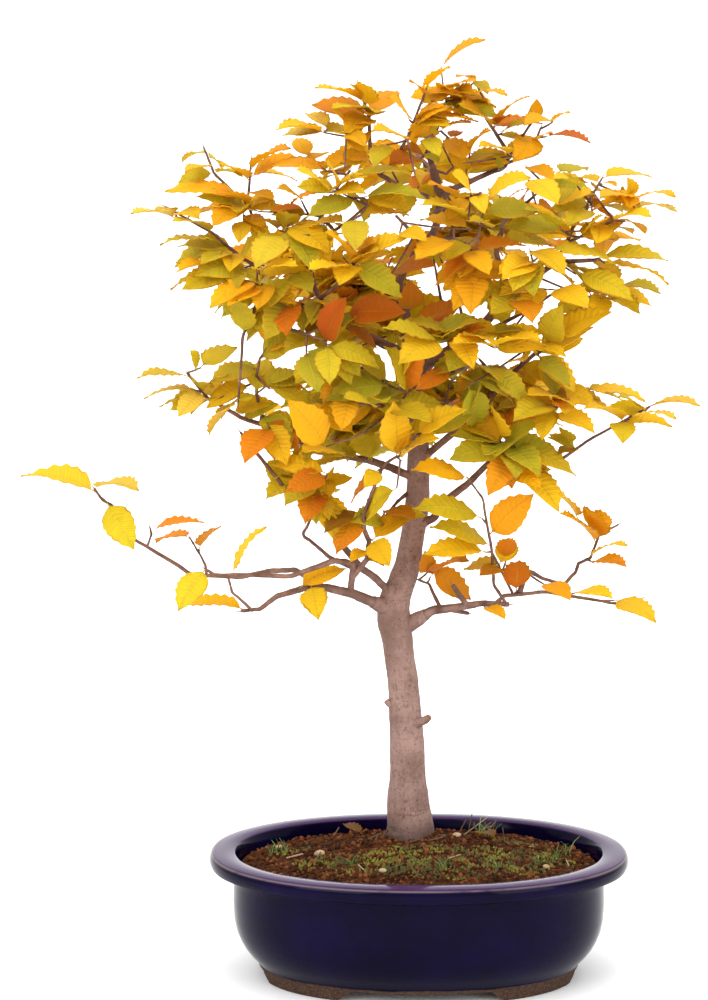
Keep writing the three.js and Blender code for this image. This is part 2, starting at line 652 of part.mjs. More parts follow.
// A gap between two feet, cut right through from side to side, with sloped ends
function footGapSolid(gapShape, turn) {
  const outline = new THREE.Shape();
  outline.moveTo(-gapShape.bottomHalf - 2, -2);
  outline.lineTo(gapShape.bottomHalf + 2, -2);
  outline.lineTo(gapShape.topHalf, pot.footHeight - 0.5);
  outline.lineTo(-gapShape.topHalf, pot.footHeight - 0.5);
  const geometry = new THREE.ExtrudeGeometry(outline, { depth: 300, bevelEnabled: false });
  geometry.translate(0, 0, -150);
  geometry.rotateX(Math.PI / 2);
  geometry.rotateZ(turn);
  return toSolid(geometry);
}

function blockSolid(size, centre) {
  const geometry = new THREE.BoxGeometry(...size);
  geometry.translate(...centre);
  return toSolid(geometry);
}

function rodSolid(radius, bottom, top, x, y, sides = 12) {
  const geometry = new THREE.CylinderGeometry(radius, radius, top - bottom, sides);
  geometry.rotateX(Math.PI / 2);
  geometry.translate(x, y, (top + bottom) / 2);
  return toSolid(geometry);
}

function makePot() {
  const outside = [
    [0, pot.floorUnder], [pot.footInner, pot.floorUnder], [pot.footInner, 0], [pot.footOuter, 0],
    [96, 8.5], [101, 14], [107, 22.5], [111, 36], [111, 62],
    [117, 65], [124, 66.5], [pot.rimHalfLength, 71.5], [122.5, pot.height],
  ];
  const body = ovalSolid([...outside, ...innerWall, [0, pot.floorTop]]);
  const cuts = [
    footGapSolid(pot.frontGap, 0),
    footGapSolid(pot.endGap, Math.PI / 2),
    ...[-1, 1].map((hand) => rodSolid(pot.drainHoleRadius, 0, 20, hand * pot.drainHoleX, 0)),
  ];
  return cuts.reduce((left, cut) => left.subtract(cut), body);
}

function makeScreen(x) {
  const bottom = pot.floorTop + soil.clearance;
  const middle = bottom + screen.thick / 2;
  const pitch = (screen.side - screen.bar) / screen.holes;
  let plate = blockSolid([screen.side, screen.side, screen.thick], [x, 0, middle]);
  for (let i = 0; i < screen.holes; i += 1) {
    for (let j = 0; j < screen.holes; j += 1) {
      const across = (i - (screen.holes - 1) / 2) * pitch;
      const deep = (j - (screen.holes - 1) / 2) * pitch;
      const hole = [pitch - screen.bar, pitch - screen.bar, screen.thick * 2];
      plate = plate.subtract(blockSolid(hole, [x + across, deep, middle]));
    }
  }
  return plate;
}

function makeSoil(trunkSolid) {
  const side = innerWall.filter(([, z]) => z < soil.wallTop).map(([r, z]) => [r - soil.clearance, z]);
  const wallRadius = side[0][0] + 0.2;
  const rings = [0, 0.4, 0.72, 1].map((share) => [
    share * wallRadius,
    soil.wallTop + (soil.crown - soil.wallTop) * (1 - share * share),
  ]);
  const profile = [[0, pot.floorTop + soil.clearance], ...side.reverse(), ...rings.reverse()];
  profile[1][1] = pot.floorTop + soil.clearance;
  let body = ovalSolid(profile);
  body = body.warp((spot) => {
    if (spot[2] > soil.wallTop - 1) {
      spot[2] += soil.waveHeight * Math.sin(spot[0] * 0.11 + 1) * Math.cos(spot[1] * 0.13);
    }
  });
  for (const hand of [-1, 1]) {
    const recess = [screen.side + 0.6, screen.side + 0.6, 2 * (screen.thick + 0.3)];
    body = body.subtract(blockSolid(recess, [hand * pot.drainHoleX, 0, pot.floorTop + soil.clearance]));
  }
  return largestBody(body.subtract(trunkSolid));
}

function makeTrunk(extra) {
  const route = trunkRings.map(([x, y, z]) => new THREE.Vector3(x, y, z));
  const bole = limbSolid(route, trunkRings.map(([, , , thick]) => thick / 2 + extra), trunkFacets);
  return cutStubs.reduce((sum, stub) => {
    const ends = stub.through.map(toVector);
    return sum.add(limbSolid(ends, taper(ends, stub.thick).map((radius) => radius + extra), 6));
  }, bole);
}

// What stands already: its node, and the points its centre line runs through
const placed = [];

function place(solid, node, route, isLeaf) {
  placed.push({ solid, node, route, isLeaf, box: solid.boundingBox() });
}

function nearestOn(start, end, point) {
  const along = end.clone().sub(start);
  const share = Math.max(0, Math.min(1, point.clone().sub(start).dot(along) / along.lengthSq()));
  const spot = start.clone().addScaledVector(along, share);
  return { spot, distance: spot.distanceTo(point) };
}

// Pieces of one node may grow through each other near the place where they start from one another
function mayTouch(other, node, start, isLeaf, reach) {
  if (other.node !== node) return false;
  if (!isLeaf) return true;
  if (other.isLeaf) return other.route[0].distanceTo(start) < reach.leaf;
  const { route } = other;
  return route.some((end, i) => i > 0 && nearestOn(route[i - 1], end, start).distance < reach.wood);
}

function isClear(solid, node, start, isLeaf, reach = touchReach.wide) {
  const box = solid.boundingBox();
  const isApart = (other) => [0, 1, 2].some((axis) => box.min[axis] > other.box.max[axis] + gap
    || box.max[axis] < other.box.min[axis] - gap);
  return placed.every((other) => isApart(other) || mayTouch(other, node, start, isLeaf, reach)
    || solid.minGap(other.solid, gap) >= gap * 0.999);
}

// The solids each node is joined from
const pieces = {};

// The centre lines of a node's limbs and twigs, as straight stretches that more wood can start from
const wood = {};

function nearestWood(node, point) {
  const spots = wood[node].map(([start, end]) => nearestOn(start, end, point));
  return spots.reduce((best, spot) => (spot.distance < best.distance ? spot : best));
}

// A twig starts where the way to its leaf is short and runs on into the leaf without a sharp turn
function twigStart(node, stalk, tip) {
  const way = tip.clone().sub(stalk).normalize();
  const spots = wood[node].flatMap(([start, end]) => [0, 0.25, 0.5, 0.75, 1].map((share) => {
    const spot = start.clone().lerp(end, share);
    const reach = stalk.clone().sub(spot);
    const effort = reach.length() * (turnCost - reach.clone().normalize().dot(way));
    return { spot, effort };
  }));
  return spots.reduce((best, spot) => (spot.effort < best.effort ? spot : best)).spot;
}

// A twig is straight, or bends once; the first of these that keeps it clear of other branches is taken
const twigBends = [
  [0, 0, 0], [0, 0, 0.1], [0, 0, -0.1], [0.12, 0, 0.02], [-0.12, 0, 0.02], [0, 0.12, 0.02],
  [0, -0.12, 0.02], [0, 0, 0.22], [0, 0, -0.22], [0.24, 0, 0], [-0.24, 0, 0], [0, 0.24, 0], [0, -0.24, 0],
];

function growTwig(node, root, end) {
  for (const bend of twigBends) {
    const middle = root.clone().lerp(end, 0.5).addScaledVector(toVector(bend), root.distanceTo(end));
    const route = bend.some((share) => share !== 0) ? [root, middle, end] : [root, end];
    const solid = limbSolid(route, route.map(() => twigRadius), 5);
    if (isClear(solid, node, root, false)) {
      place(solid, node, route, false);
      for (let i = 1; i < route.length; i += 1) wood[node].push([route[i - 1], route[i]]);
      return { route, middle };
    }
  }
  return null;
}

// The rings of a leaf's twig from the leaf back to the root, each with the way the twig runs and its size
function twigRings(route) {
  const rings = route.slice(0, -1).map((place, i) => [
    place, route[i + 1].clone().sub(place).normalize(), i === 0 ? 0.34 : 1.15,
  ]);
  return rings.reverse();
}

// A leaf turns a little on its stalk; the first turn that keeps it clear of its neighbours is taken
const leafTurns = [
  [0, 0], [0.12, 0], [-0.12, 0], [0, 0.14], [0, -0.14], [0.14, 0.14], [-0.14, 0.14], [0.14, -0.14],
  [-0.14, -0.14], [0.3, 0], [-0.3, 0], [0, 0.3], [0, -0.3], [0.3, 0.3], [-0.3, 0.3], [0.3, -0.3],
];

function bareTwig(route) {
  return limbSolid(route, route.map(() => twigRadius * 0.9), 3);
}

// A leaf runs on from its own twig as one surface, unless it turns too sharply at the joint for that
function joinTwig(leaf, blade, route, shape) {
  if (!route) return [blade];
  const rings = twigRings(route);
  const turn = rings[0][1].dot(leaf.tip.clone().sub(leaf.stalk).normalize());
  if (turn < sharpTurn) return [bareTwig(route), blade];
  return [bladeSolid({ ...leaf, twig: rings }, shape)];
}

function growLeaf({ node, start, tip, face, route }, shape) {
  const along = tip.clone().sub(start);
  const long = along.length();
  along.normalize();
  const up = face.clone().sub(along.clone().multiplyScalar(face.dot(along))).normalize();
  const side = along.clone().cross(up);
  for (const reach of [touchReach.narrow, touchReach.wide]) {
    for (const [sideways, upwards] of leafTurns) {
      const way = along.clone().addScaledVector(side, sideways).addScaledVector(up, upwards).normalize();
      const leaf = { stalk: start, tip: start.clone().addScaledVector(way, long), face };
      const blade = bladeSolid(leaf, shape);
      if (isClear(blade, node, start, true, reach)) {
        place(blade, node, [start, leaf.tip], true);
        pieces[node].push(...joinTwig(leaf, blade, route, shape));
        return;
      }
    }
  }
  if (route) pieces[node].push(bareTwig(route));
}

function faceTowards(outward, degrees) {
  const angle = THREE.MathUtils.degToRad(degrees);
  return new THREE.Vector3(0, 0, Math.cos(angle)).addScaledVector(outward, Math.sin(angle));
}

// Limbs and their twigs come first, then the leaves that show singly, then the leaves in sprays
function growLimbs(node, branch) {
  wood[node] = [];
  pieces[node] = [];
  for (const limb of branch.limbs) {
    const route = limb.through.map(toVector);
    const thickest = Math.max(...limb.thick);
    const sides = thickest > 4.5 ? 5 : thickest > 2 ? 4 : 3;
    const solid = largestBody(limbSolid(route, taper(route, limb.thick), sides).subtract(trunkHole));
    place(solid, node, route, false);
    pieces[node].push(solid);
    for (let i = 1; i < route.length; i += 1) wood[node].push([route[i - 1], route[i]]);
  }
  const [first] = wood[node];
  first[0] = first[0].clone().lerp(first[1], Math.min(0.9, rootLength / first[0].distanceTo(first[1])));
}

function growTwigsToLeaves(node, branch) {
  const front = new THREE.Vector3(0, -1, 0);
  return branch.leaves.flatMap(([x, y, z, tipX, tipY, tipZ, degrees]) => {
    const stalk = new THREE.Vector3(x, y, z);
    const near = nearestWood(node, stalk);
    const leaf = { node, tip: new THREE.Vector3(tipX, tipY, tipZ), face: faceTowards(front, degrees) };
    if (near.distance < joinReach) return [{ ...leaf, start: near.spot }];
    const twig = growTwig(node, twigStart(node, stalk, leaf.tip), stalk);
    return twig === null ? [] : [{ ...leaf, start: stalk, route: twig.route }];
  });
}

function pointAlong(route, share) {
  const reach = [0];
  for (let i = 1; i < route.length; i += 1) reach.push(reach[i - 1] + route[i].distanceTo(route[i - 1]));
  const want = share * reach[reach.length - 1];
  const i = Math.max(1, reach.findIndex((length) => length >= want));
  const part = (want - reach[i - 1]) / (reach[i] - reach[i - 1]);
  return { spot: route[i - 1].clone().lerp(route[i], part), heading: route[i].clone().sub(route[i - 1]) };
}

// Short side shoots stand by turns to the left and right of a limb, each with three leaves
function growSprays(node, branch, draw) {
  const found = [];
  branch.limbs.filter((limb) => limb.sprays).forEach((limb) => {
    const route = limb.through.map(toVector);
    const [count, from] = limb.sprays;
    for (let k = 0; k < count; k += 1) {
      const last = k === count - 1;
      const { spot, heading } = pointAlong(route, last ? 0.999 : from + ((1 - from) * (k + 0.5)) / count);
      const hand = k % 2 === 0 ? 1 : -1;
      const turn = hand * (last ? 10 * draw() : 35 + 35 * draw());
      const rise = -0.15 + 0.45 * draw();
      const long = 20 + 14 * draw();
      const [size, tilt, droop] = [draw(), draw(), draw()];
      const level = heading.setZ(0).normalize();
      const upright = new THREE.Vector3(0, 0, 1);
      const way = level.clone().applyAxisAngle(upright, THREE.MathUtils.degToRad(turn));
      const end = spot.clone().addScaledVector(way.clone().setZ(rise).normalize(), long);
      const twig = growTwig(node, spot, end);
      if (twig === null) continue;
      const outward = new THREE.Vector3(end.x, end.y - 20, 0).normalize();
      const leafLong = 32 + 8 * size;
      const fans = [[end, 8], [end, -hand * 58], [twig.middle, hand * 62]];
      fans.forEach(([start, fan], i) => {
        const out = way.clone().applyAxisAngle(upright, THREE.MathUtils.degToRad(fan));
        out.setZ(-0.1 - 0.4 * ((droop + i * 0.37) % 1));
        const tip = start.clone().addScaledVector(out.normalize(), leafLong * (1 - 0.07 * i));
        const face = faceTowards(outward, 10 + 45 * ((tilt + i * 0.41) % 1));
        found.push({ node, start, tip, face, route: i === 0 ? twig.route : null });
      });
    }
  });
  return found;
}

const trunkSolid = makeTrunk(0);
const trunkHole = makeTrunk(trunkClearance);
const potSolid = makePot();
const soilSolid = makeSoil(trunkHole);
[trunkHole, soilSolid, potSolid].forEach((solid) => place(solid, null, [], false));

const names = Object.keys(branches);
const draw = seededDraw(spraySeed);
names.forEach((node) => growLimbs(node, branches[node]));
const singleLeaves = names.flatMap((node) => growTwigsToLeaves(node, branches[node]));
const sprayLeaves = names.flatMap((node) => growSprays(node, branches[node], draw));
singleLeaves.forEach((leaf) => {
  growLeaf(leaf, leaf.start.distanceTo(leaf.tip) > longLeaf ? bladeShape.fine : bladeShape.plain);
});
sprayLeaves.forEach((leaf) => growLeaf(leaf, bladeShape.plain));

const model = new THREE.Group();

function addPiece(name, solid, material) {
  const mesh = new THREE.Mesh(toGeometry(solid), material);
  mesh.name = name;
  model.add(mesh);
}

addPiece('pot', potSolid, colours.glaze);
addPiece('drain_screen_left', makeScreen(-pot.drainHoleX), colours.net);
addPiece('drain_screen_right', makeScreen(pot.drainHoleX), colours.net);
addPiece('soil', soilSolid, colours.soil);
addPiece('trunk', trunkSolid, colours.bark);
for (const node of names) {
  addPiece(node, largestBody(wasm.Manifold.union(pieces[node]).simplify(finestEdge)), colours.foliage);
}

// The whole stands with the middle of its outer box over the origin
const outer = new THREE.Box3().setFromObject(model);
const middle = outer.getCenter(new THREE.Vector3());
model.position.set(-middle.x, -middle.y, 0);

export default model;
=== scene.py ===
import bpy
import math
import random
from mathutils import Matrix, Vector, noise
from mathutils.kdtree import KDTree


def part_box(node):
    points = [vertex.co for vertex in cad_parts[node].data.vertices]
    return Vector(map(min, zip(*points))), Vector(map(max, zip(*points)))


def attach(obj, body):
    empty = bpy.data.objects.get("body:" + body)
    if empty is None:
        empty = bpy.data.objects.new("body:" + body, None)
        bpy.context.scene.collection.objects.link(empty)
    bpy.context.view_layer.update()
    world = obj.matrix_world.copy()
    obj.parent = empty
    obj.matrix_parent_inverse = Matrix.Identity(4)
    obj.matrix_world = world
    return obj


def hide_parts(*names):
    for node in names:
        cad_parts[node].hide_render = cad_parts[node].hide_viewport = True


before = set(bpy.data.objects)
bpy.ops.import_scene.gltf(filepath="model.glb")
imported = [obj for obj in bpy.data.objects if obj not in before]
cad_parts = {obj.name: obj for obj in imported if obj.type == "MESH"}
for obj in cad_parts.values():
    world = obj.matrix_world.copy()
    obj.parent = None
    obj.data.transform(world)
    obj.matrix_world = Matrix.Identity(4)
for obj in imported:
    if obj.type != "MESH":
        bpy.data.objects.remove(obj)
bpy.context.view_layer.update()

potLow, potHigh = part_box("pot")
potMiddle = Vector(((potLow[0] + potHigh[0]) / 2, (potLow[1] + potHigh[1]) / 2, 0))
print("stage: frame loaded")


def inFrame(x, y, z):
    # design points are in mm from the middle of the pot's foot
    return potMiddle + Vector((x, y, z)) * 0.001


def clearSelection():
    if bpy.context.object and bpy.context.object.mode != "OBJECT":
        bpy.ops.object.mode_set(mode="OBJECT")
    bpy.ops.object.select_all(action="DESELECT")


def pick(obj):
    clearSelection()
    obj.select_set(True)
    bpy.context.view_layer.objects.active = obj


def applyModifier(obj, kind, **settings):
    pick(obj)
    modifier = obj.modifiers.new(kind.title(), kind)
    for key, value in settings.items():
        setattr(modifier, key, value)
    bpy.ops.object.modifier_apply(modifier=modifier.name)


def settle(obj):
    # place, turn and size go into the mesh
    pick(obj)
    bpy.ops.object.transform_apply(location=True, rotation=True, scale=True)


def smooth(obj, degrees):
    pick(obj)
    bpy.ops.object.shade_smooth_by_angle(angle=math.radians(degrees))


def joinAll(name, objects):
    clearSelection()
    for obj in objects:
        obj.select_set(True)
    bpy.context.view_layer.objects.active = objects[0]
    if len(objects) > 1:
        bpy.ops.object.join()
    joined = bpy.context.object
    joined.name = name
    joined.data.name = name
    settle(joined)
    return joined


def faceOutward(obj):
    pick(obj)
    bpy.ops.object.mode_set(mode="EDIT")
    bpy.ops.mesh.select_all(action="SELECT")
    bpy.ops.mesh.normals_make_consistent(inside=False)
    bpy.ops.object.mode_set(mode="OBJECT")


def paintOver(obj, material):
    obj.data.materials.clear()
    obj.data.materials.append(material)


def finishPiece(obj, material, node):
    paintOver(obj, material)
    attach(obj, "root")
    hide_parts(node)


# Shader maths as plain expressions: a Wave holds one socket or one number
class Wave:
    def __init__(self, paint, socket):
        self.paint = paint
        self.socket = socket

    def math(self, operation, *others):
        return self.paint.node("ShaderNodeMath", {"operation": operation}, [self, *others])[0]

    def __add__(self, other): return self.math("ADD", other)
    def __radd__(self, other): return self.math("ADD", other)
    def __sub__(self, other): return self.math("SUBTRACT", other)
    def __mul__(self, other): return self.math("MULTIPLY", other)
    def __truediv__(self, other): return self.math("DIVIDE", other)
    def __pow__(self, other): return self.math("POWER", other)
    def __abs__(self): return self.math("ABSOLUTE")

    def __rsub__(self, other):
        return self.paint.node("ShaderNodeMath", {"operation": "SUBTRACT"}, [other, self])[0]

    def fraction(self):
        return self.math("FRACT")

    def step(self, low, high):
        # rises smoothly from 0 at low to 1 at high
        settings = {"interpolation_type": "SMOOTHSTEP"}
        values = {"Value": self, "From Min": low, "From Max": high}
        return self.paint.node("ShaderNodeMapRange", settings, values)[0]


class Paint:
    def __init__(self, name):
        self.material = bpy.data.materials.new(name)
        self.material.use_nodes = True
        self.tree = self.material.node_tree
        self.shader = self.tree.nodes["Principled BSDF"]
        self.output = self.tree.nodes["Material Output"]

    def link(self, value, socket):
        if isinstance(value, Wave):
            value = value.socket
        if isinstance(value, bpy.types.NodeSocket):
            self.tree.links.new(value, socket)
        else:
            socket.default_value = value

    def node(self, kind, settings=None, values=None):
        made = self.tree.nodes.new(kind)
        for key, value in (settings or {}).items():
            setattr(made, key, value)
        pairs = values.items() if isinstance(values, dict) else enumerate(values or [])
        for key, value in pairs:
            self.link(value, made.inputs[key])
        return [Wave(self, output) for output in made.outputs]

    def place(self):
        # metres from the middle of the pot's foot
        spot = self.node("ShaderNodeTexCoord")[3]
        values = {"Vector": spot, "Location": [-value for value in potMiddle]}
        return self.node("ShaderNodeMapping", {}, values)[0]

    def stretched(self, vector, *scale):
        return self.node("ShaderNodeMapping", {}, {"Vector": vector, "Scale": scale})[0]

    def attribute(self, name):
        return self.node("ShaderNodeAttribute", {"attribute_name": name})

    def parts(self, vector):
        return self.node("ShaderNodeSeparateXYZ", {}, [vector])

    def noise(self, vector, scale, detail):
        values = {"Vector": vector, "Scale": scale, "Detail": detail, "Roughness": 0.55}
        return self.node("ShaderNodeTexNoise", {}, values)[0]

    def cells(self, vector, scale):
        return self.node("ShaderNodeTexVoronoi", {}, {"Vector": vector, "Scale": scale})[0]

    def mix(self, share, first, second):
        made = self.tree.nodes.new("ShaderNodeMix")
        made.data_type = "RGBA"
        self.link(share, made.inputs[0])
        for value, socket in ((first, made.inputs[6]), (second, made.inputs[7])):
            if isinstance(value, (tuple, list)) and len(value) == 3:
                value = (*value, 1)
            self.link(value, socket)
        return Wave(self, made.outputs[2])

    def bump(self, height, strength, distance):
        values = {"Height": height, "Strength": strength, "Distance": distance}
        return self.node("ShaderNodeBump", {}, values)[0]

    def finish(self, **sockets):
        words = {"colour": "Base Color", "roughness": "Roughness", "normal": "Normal",
                 "specular": "Specular IOR Level", "ior": "IOR", "tint": "Specular Tint"}
        for name, value in sockets.items():
            if isinstance(value, (tuple, list)) and len(value) == 3:
                value = (*value, 1)
            self.link(value, self.shader.inputs[words[name]])
        return self.material


# The camera stands where the photograph was taken
camera = {"place": (-38.7, -1400, 419), "downDegrees": 5.47, "lens": 85.7}
tiltUp = math.radians(90 - camera["downDegrees"])
bpy.ops.object.camera_add(location=inFrame(*camera["place"]), rotation=(tiltUp, 0, 0))
view = bpy.context.object
view.data.sensor_fit = "VERTICAL"
view.data.sensor_height = 36
view.data.lens = camera["lens"]
view.data.clip_start = 0.01
bpy.context.scene.camera = view

# Pot
pot = {
    "segments": 144, "fullness": 2.15, "lengthOverWidth": 27.5,
    # the colour for the rim's top is a painted reflection of the sky on the glaze
    "glaze": (0.0014, 0.0008, 0.009), "glazeLight": (0.004, 0.002, 0.026), "paintedRimReflection": (0.054, 0.021, 0.088),
    "rimLine": (0.22, 0.17, 0.15),
    "clay": (0.042, 0.024, 0.016), "clayLight": (0.095, 0.055, 0.036), "glazeEnd": 8.2,
    # half length and height of each ring, from under the foot round the rim and down to the floor
    "foot": (82, 7),
    "outside": [(82, 0.6), (83, 0), (94, 0), (95, 0.8), (95.6, 4), (96, 8.2), (97.3, 10), (101, 13.8),
                (104.6, 18.4), (107.3, 23.4), (109.4, 29), (110.7, 36), (111.2, 46), (111, 56), (111, 60.4),
                (111.7, 62.8), (113.6, 64.2), (118, 65.2), (122, 65.8), (124, 66.7), (125, 68.8),
                (125.1, 71.4), (124.6, 73.4), (123.6, 74.6), (122.2, 75), (117, 75.2), (111.5, 75),
                (109.9, 74.3), (109.2, 73), (108.4, 70)],
    "inside": [(106.8, 62), (105, 34), (99.5, 20), (88, 12.2)],
    "drainHoles": (-45, 45), "drainRadius": 7,
    # half lengths of the gaps between the feet, at the ground and at the top
    "frontGap": (51, 40), "endGap": (30, 20), "gapTop": 6.6,
    "rimReach": (125.1, 97.6),
}


def halfWidth(halfLength):
    return halfLength - pot["lengthOverWidth"] * min(1, halfLength / 80)


def ovalDisc(name, halfLength, height):
    # a round disc pressed into the pot's slightly full oval
    clearSelection()
    bpy.ops.mesh.primitive_circle_add(vertices=pot["segments"], radius=1, fill_type="NGON")
    disc = bpy.context.object
    disc.name = name
    power = 2 / pot["fullness"]
    for vertex in disc.data.vertices:
        x, y = vertex.co.x, vertex.co.y
        vertex.co.x = math.copysign(abs(x) ** power, x) * halfLength
        vertex.co.y = math.copysign(abs(y) ** power, y) * halfWidth(halfLength)
        vertex.co.z = height
    return disc


def raiseRings(start, rings):
    # each ring of the disc just made is drawn up or down from the last and widened or narrowed
    bpy.ops.object.mode_set(mode="EDIT")
    bpy.ops.mesh.select_all(action="SELECT")
    last = start
    for halfLength, height in rings:
        bpy.ops.mesh.extrude_region_move(TRANSFORM_OT_translate={"value": (0, 0, height - last[1])})
        grow = (halfLength / last[0], halfWidth(halfLength) / halfWidth(last[0]), 1)
        bpy.ops.transform.resize(value=grow, center_override=(0, 0, height))
        last = (halfLength, height)
    bpy.ops.object.mode_set(mode="OBJECT")


def cutAway(obj, cutter):
    applyModifier(obj, "BOOLEAN", operation="DIFFERENCE", object=cutter, solver="EXACT")
    bpy.data.objects.remove(cutter)


def footGap(bottomHalf, topHalf, turn):
    # a block whose ends slope, laid right through under the pot
    clearSelection()
    bpy.ops.mesh.primitive_cube_add(size=1)
    block = bpy.context.object
    for vertex in block.data.vertices:
        high = vertex.co.z > 0
        half = topHalf if high else bottomHalf
        level = pot["gapTop"] if high else -2
        vertex.co = (math.copysign(half, vertex.co.x), math.copysign(150, vertex.co.y), level)
    block.rotation_euler.z = turn
    settle(block)
    applyModifier(block, "BEVEL", width=0.8, segments=3)
    return block


def bringHome(obj):
    # from millimetres about the pot's middle to the frame
    obj.data.transform(Matrix.Translation(potMiddle) @ Matrix.Scale(0.001, 4))
    obj.data.update()


def makePot():
    body = ovalDisc("potBody", *pot["foot"])
    raiseRings(pot["foot"], pot["outside"] + pot["inside"])
    faceOutward(body)
    cutAway(body, footGap(*pot["frontGap"], 0))
    cutAway(body, footGap(*pot["endGap"], math.pi / 2))
    radius = pot["drainRadius"]
    for x in pot["drainHoles"]:
        clearSelection()
        bpy.ops.mesh.primitive_cylinder_add(vertices=32, radius=radius, depth=30, location=(x, 0, 10))
        cutAway(body, bpy.context.object)
    bringHome(body)
    smooth(body, 35)
    finishPiece(body, glazeMaterial(), "pot")


def glazeMaterial():
    paint = Paint("cobaltGlaze")
    spot = paint.place()
    x, y, z = paint.parts(spot)
    height = z * 1000
    length = abs(x * 1000 / pot["rimReach"][0]) ** pot["fullness"]
    width = abs(y * 1000 / pot["rimReach"][1]) ** pot["fullness"]
    outward = (length + width) ** (1 / pot["fullness"])
    cloud = paint.noise(spot, 22, 4)
    drift = paint.noise(spot, 60, 3)
    glaze = paint.mix((cloud * 0.9 + drift * 0.35 - 0.25).step(0.15, 0.85), pot["glaze"], pot["glazeLight"])
    # the glaze runs thin over the rim's outer edge and lets the pale body through
    line = (1 - abs(outward - 0.9905).step(0.0, 0.0075)) * height.step(72.8, 74.4)
    thin = line * (drift * 1.4 - 0.1).step(0.1, 0.6) * 0.6
    # painted reflection: the top of the rim is painted lighter and more violet in patches, standing in for
    # the sky mirrored in the glaze
    glaze = paint.mix(height.step(73.4, 74.9) * (cloud * 0.5 + 0.5), glaze, pot["paintedRimReflection"])
    colour = paint.mix(thin, glaze, pot["rimLine"])
    # bare clay below the glaze's wavy end
    edge = pot["glazeEnd"] + (paint.noise(spot, 45, 2) - 0.5) * 3.0
    bare = 1 - (height - edge).step(-0.35, 0.35)
    grit = paint.noise(spot, 900, 2)
    clay = paint.mix(grit.step(0.35, 0.75), pot["clay"], pot["clayLight"])
    colour = paint.mix(bare, colour, clay)
    roughness = bare * 0.7 + 0.07 + (1 - bare) * cloud * 0.05
    relief = paint.noise(spot, 14, 2) * 0.0004 + paint.noise(spot, 240, 2) * 0.00004 + bare * grit * 0.0001
    return paint.finish(colour=colour, roughness=roughness, ior=1.17, tint=(0.86, 0.76, 1.0),
                        normal=paint.bump(relief, 0.5, 1.0))


makePot()
print("stage: pot")

# Soil, with its crumbs, moss, grass and litter
soil = {
    "wallTop": 67, "crown": 79, "crownPlace": (-6, 16), "edge": 106.5, "seed": 7,
    # greatest share of the way to the wall, and least distance from the trunk
    "trunkPlace": (-6, 20), "crumbRoom": (0.985, 15.5), "mossRoom": (0.96, 16), "darkRadius": 28,
    "brown": (0.064, 0.020, 0.007), "light": (0.18, 0.064, 0.022), "dark": (0.012, 0.005, 0.003),
    "crumbs": 3200, "crumbSize": (0.5, 2.0),
    "moss": (0.040, 0.042, 0.003), "mossLight": (0.185, 0.175, 0.012),
    # middle, half length and half width of each patch
    "mossPatches": [(-22, -36, 34, 17), (14, -44, 36, 15), (48, -30, 30, 17), (74, -14, 20, 15),
                    (-56, -26, 20, 12), (28, -10, 26, 10), (-8, -14, 22, 9), (56, 20, 16, 8),
                    (-76, 4, 11, 8)],
    # place and height of each sprig
    "grass": [(-88, 6, 10), (-84, 10, 13), (-80, 3, 9), (78, -14, 10), (83, -8, 12), (70, -26, 9),
              (45, -40, 8), (40, 34, 12), (44, 30, 9), (-40, -36, 8), (14, -44, 9), (90, 8, 11)],
}


def rimShare(x, y):
    # 0 at the middle of the soil, 1 where it meets the pot's wall
    length = abs(x / soil["edge"]) ** pot["fullness"]
    width = abs(y / halfWidth(soil["edge"])) ** pot["fullness"]
    return (length + width) ** (1 / pot["fullness"])


def awayFrom(place, x, y):
    return math.hypot(x - place[0], y - place[1])


def onBed(x, y, room):
    share, clear = room
    return rimShare(x, y) < share and awayFrom(soil["trunkPlace"], x, y) > clear


def soilHeight(x, y):
    share = min(1, rimShare(x, y))
    rise = (soil["crown"] - soil["wallTop"]) * (1 - share * share)
    lumps = 1.6 * noise.noise(Vector((x, y, 3)) * 0.05) + 0.9 * noise.noise(Vector((x, y, 9)) * 0.13)
    # a low swelling rings the trunk
    collar = 1.6 * math.exp(-((awayFrom(soil["crownPlace"], x, y) - 19) / 6) ** 2)
    return soil["wallTop"] + rise + lumps * (1 - share ** 4) + collar - 0.8


def makeSoilBed():
    under = (100, 56)
    bed = ovalDisc("soilBed", *under)
    rings = [(104.4, 56.2), (106.4, 66)]
    rings += [(soil["edge"] * step / 26, soil["wallTop"]) for step in range(25, 0, -1)]
    raiseRings(under, rings)
    for vertex in bed.data.vertices:
        if vertex.co.z > soil["wallTop"] - 0.5:
            fine = noise.noise(vertex.co * 0.5) * 0.8
            vertex.co.z = soilHeight(vertex.co.x, vertex.co.y) + fine
    faceOutward(bed)
    bringHome(bed)
    smooth(bed, 60)
    finishPiece(bed, soilMaterial(), "soil")


def soilMaterial():
    paint = Paint("soilBed")
    spot = paint.place()
    crumbs = paint.cells(spot, 420)
    patches = paint.noise(spot, 38, 4)
    grain = paint.noise(spot, 1400, 2)
    colour = paint.mix(patches.step(0.32, 0.68), soil["dark"], soil["brown"])
    colour = paint.mix(paint.noise(spot, 210, 3).step(0.52, 0.72) * 0.8, colour, soil["light"])
    colour = paint.mix((1 - crumbs.step(0.1, 0.55)) * 0.35, colour, soil["light"])
    relief = crumbs * -0.0012 + grain * 0.0002
    return paint.finish(colour=colour, roughness=0.93, specular=0.05, normal=paint.bump(relief, 0.9, 1.0))


def crumbMaterial():
    # each crumb keeps one shade of its own
    paint = Paint("soilCrumbs")
    spot = paint.place()
    tone = paint.attribute("shade")[2]
    colour = paint.mix(tone.step(0.0, 0.55), soil["dark"], soil["brown"])
    colour = paint.mix(tone.step(0.5, 1.0), colour, soil["light"])
    grain = paint.noise(spot, 1500, 2)
    colour = paint.mix(grain.step(0.4, 0.8) * 0.4, colour, soil["light"])
    relief = grain * 0.0004
    return paint.finish(colour=colour, roughness=0.95, specular=0.05, normal=paint.bump(relief, 0.7, 1.0))


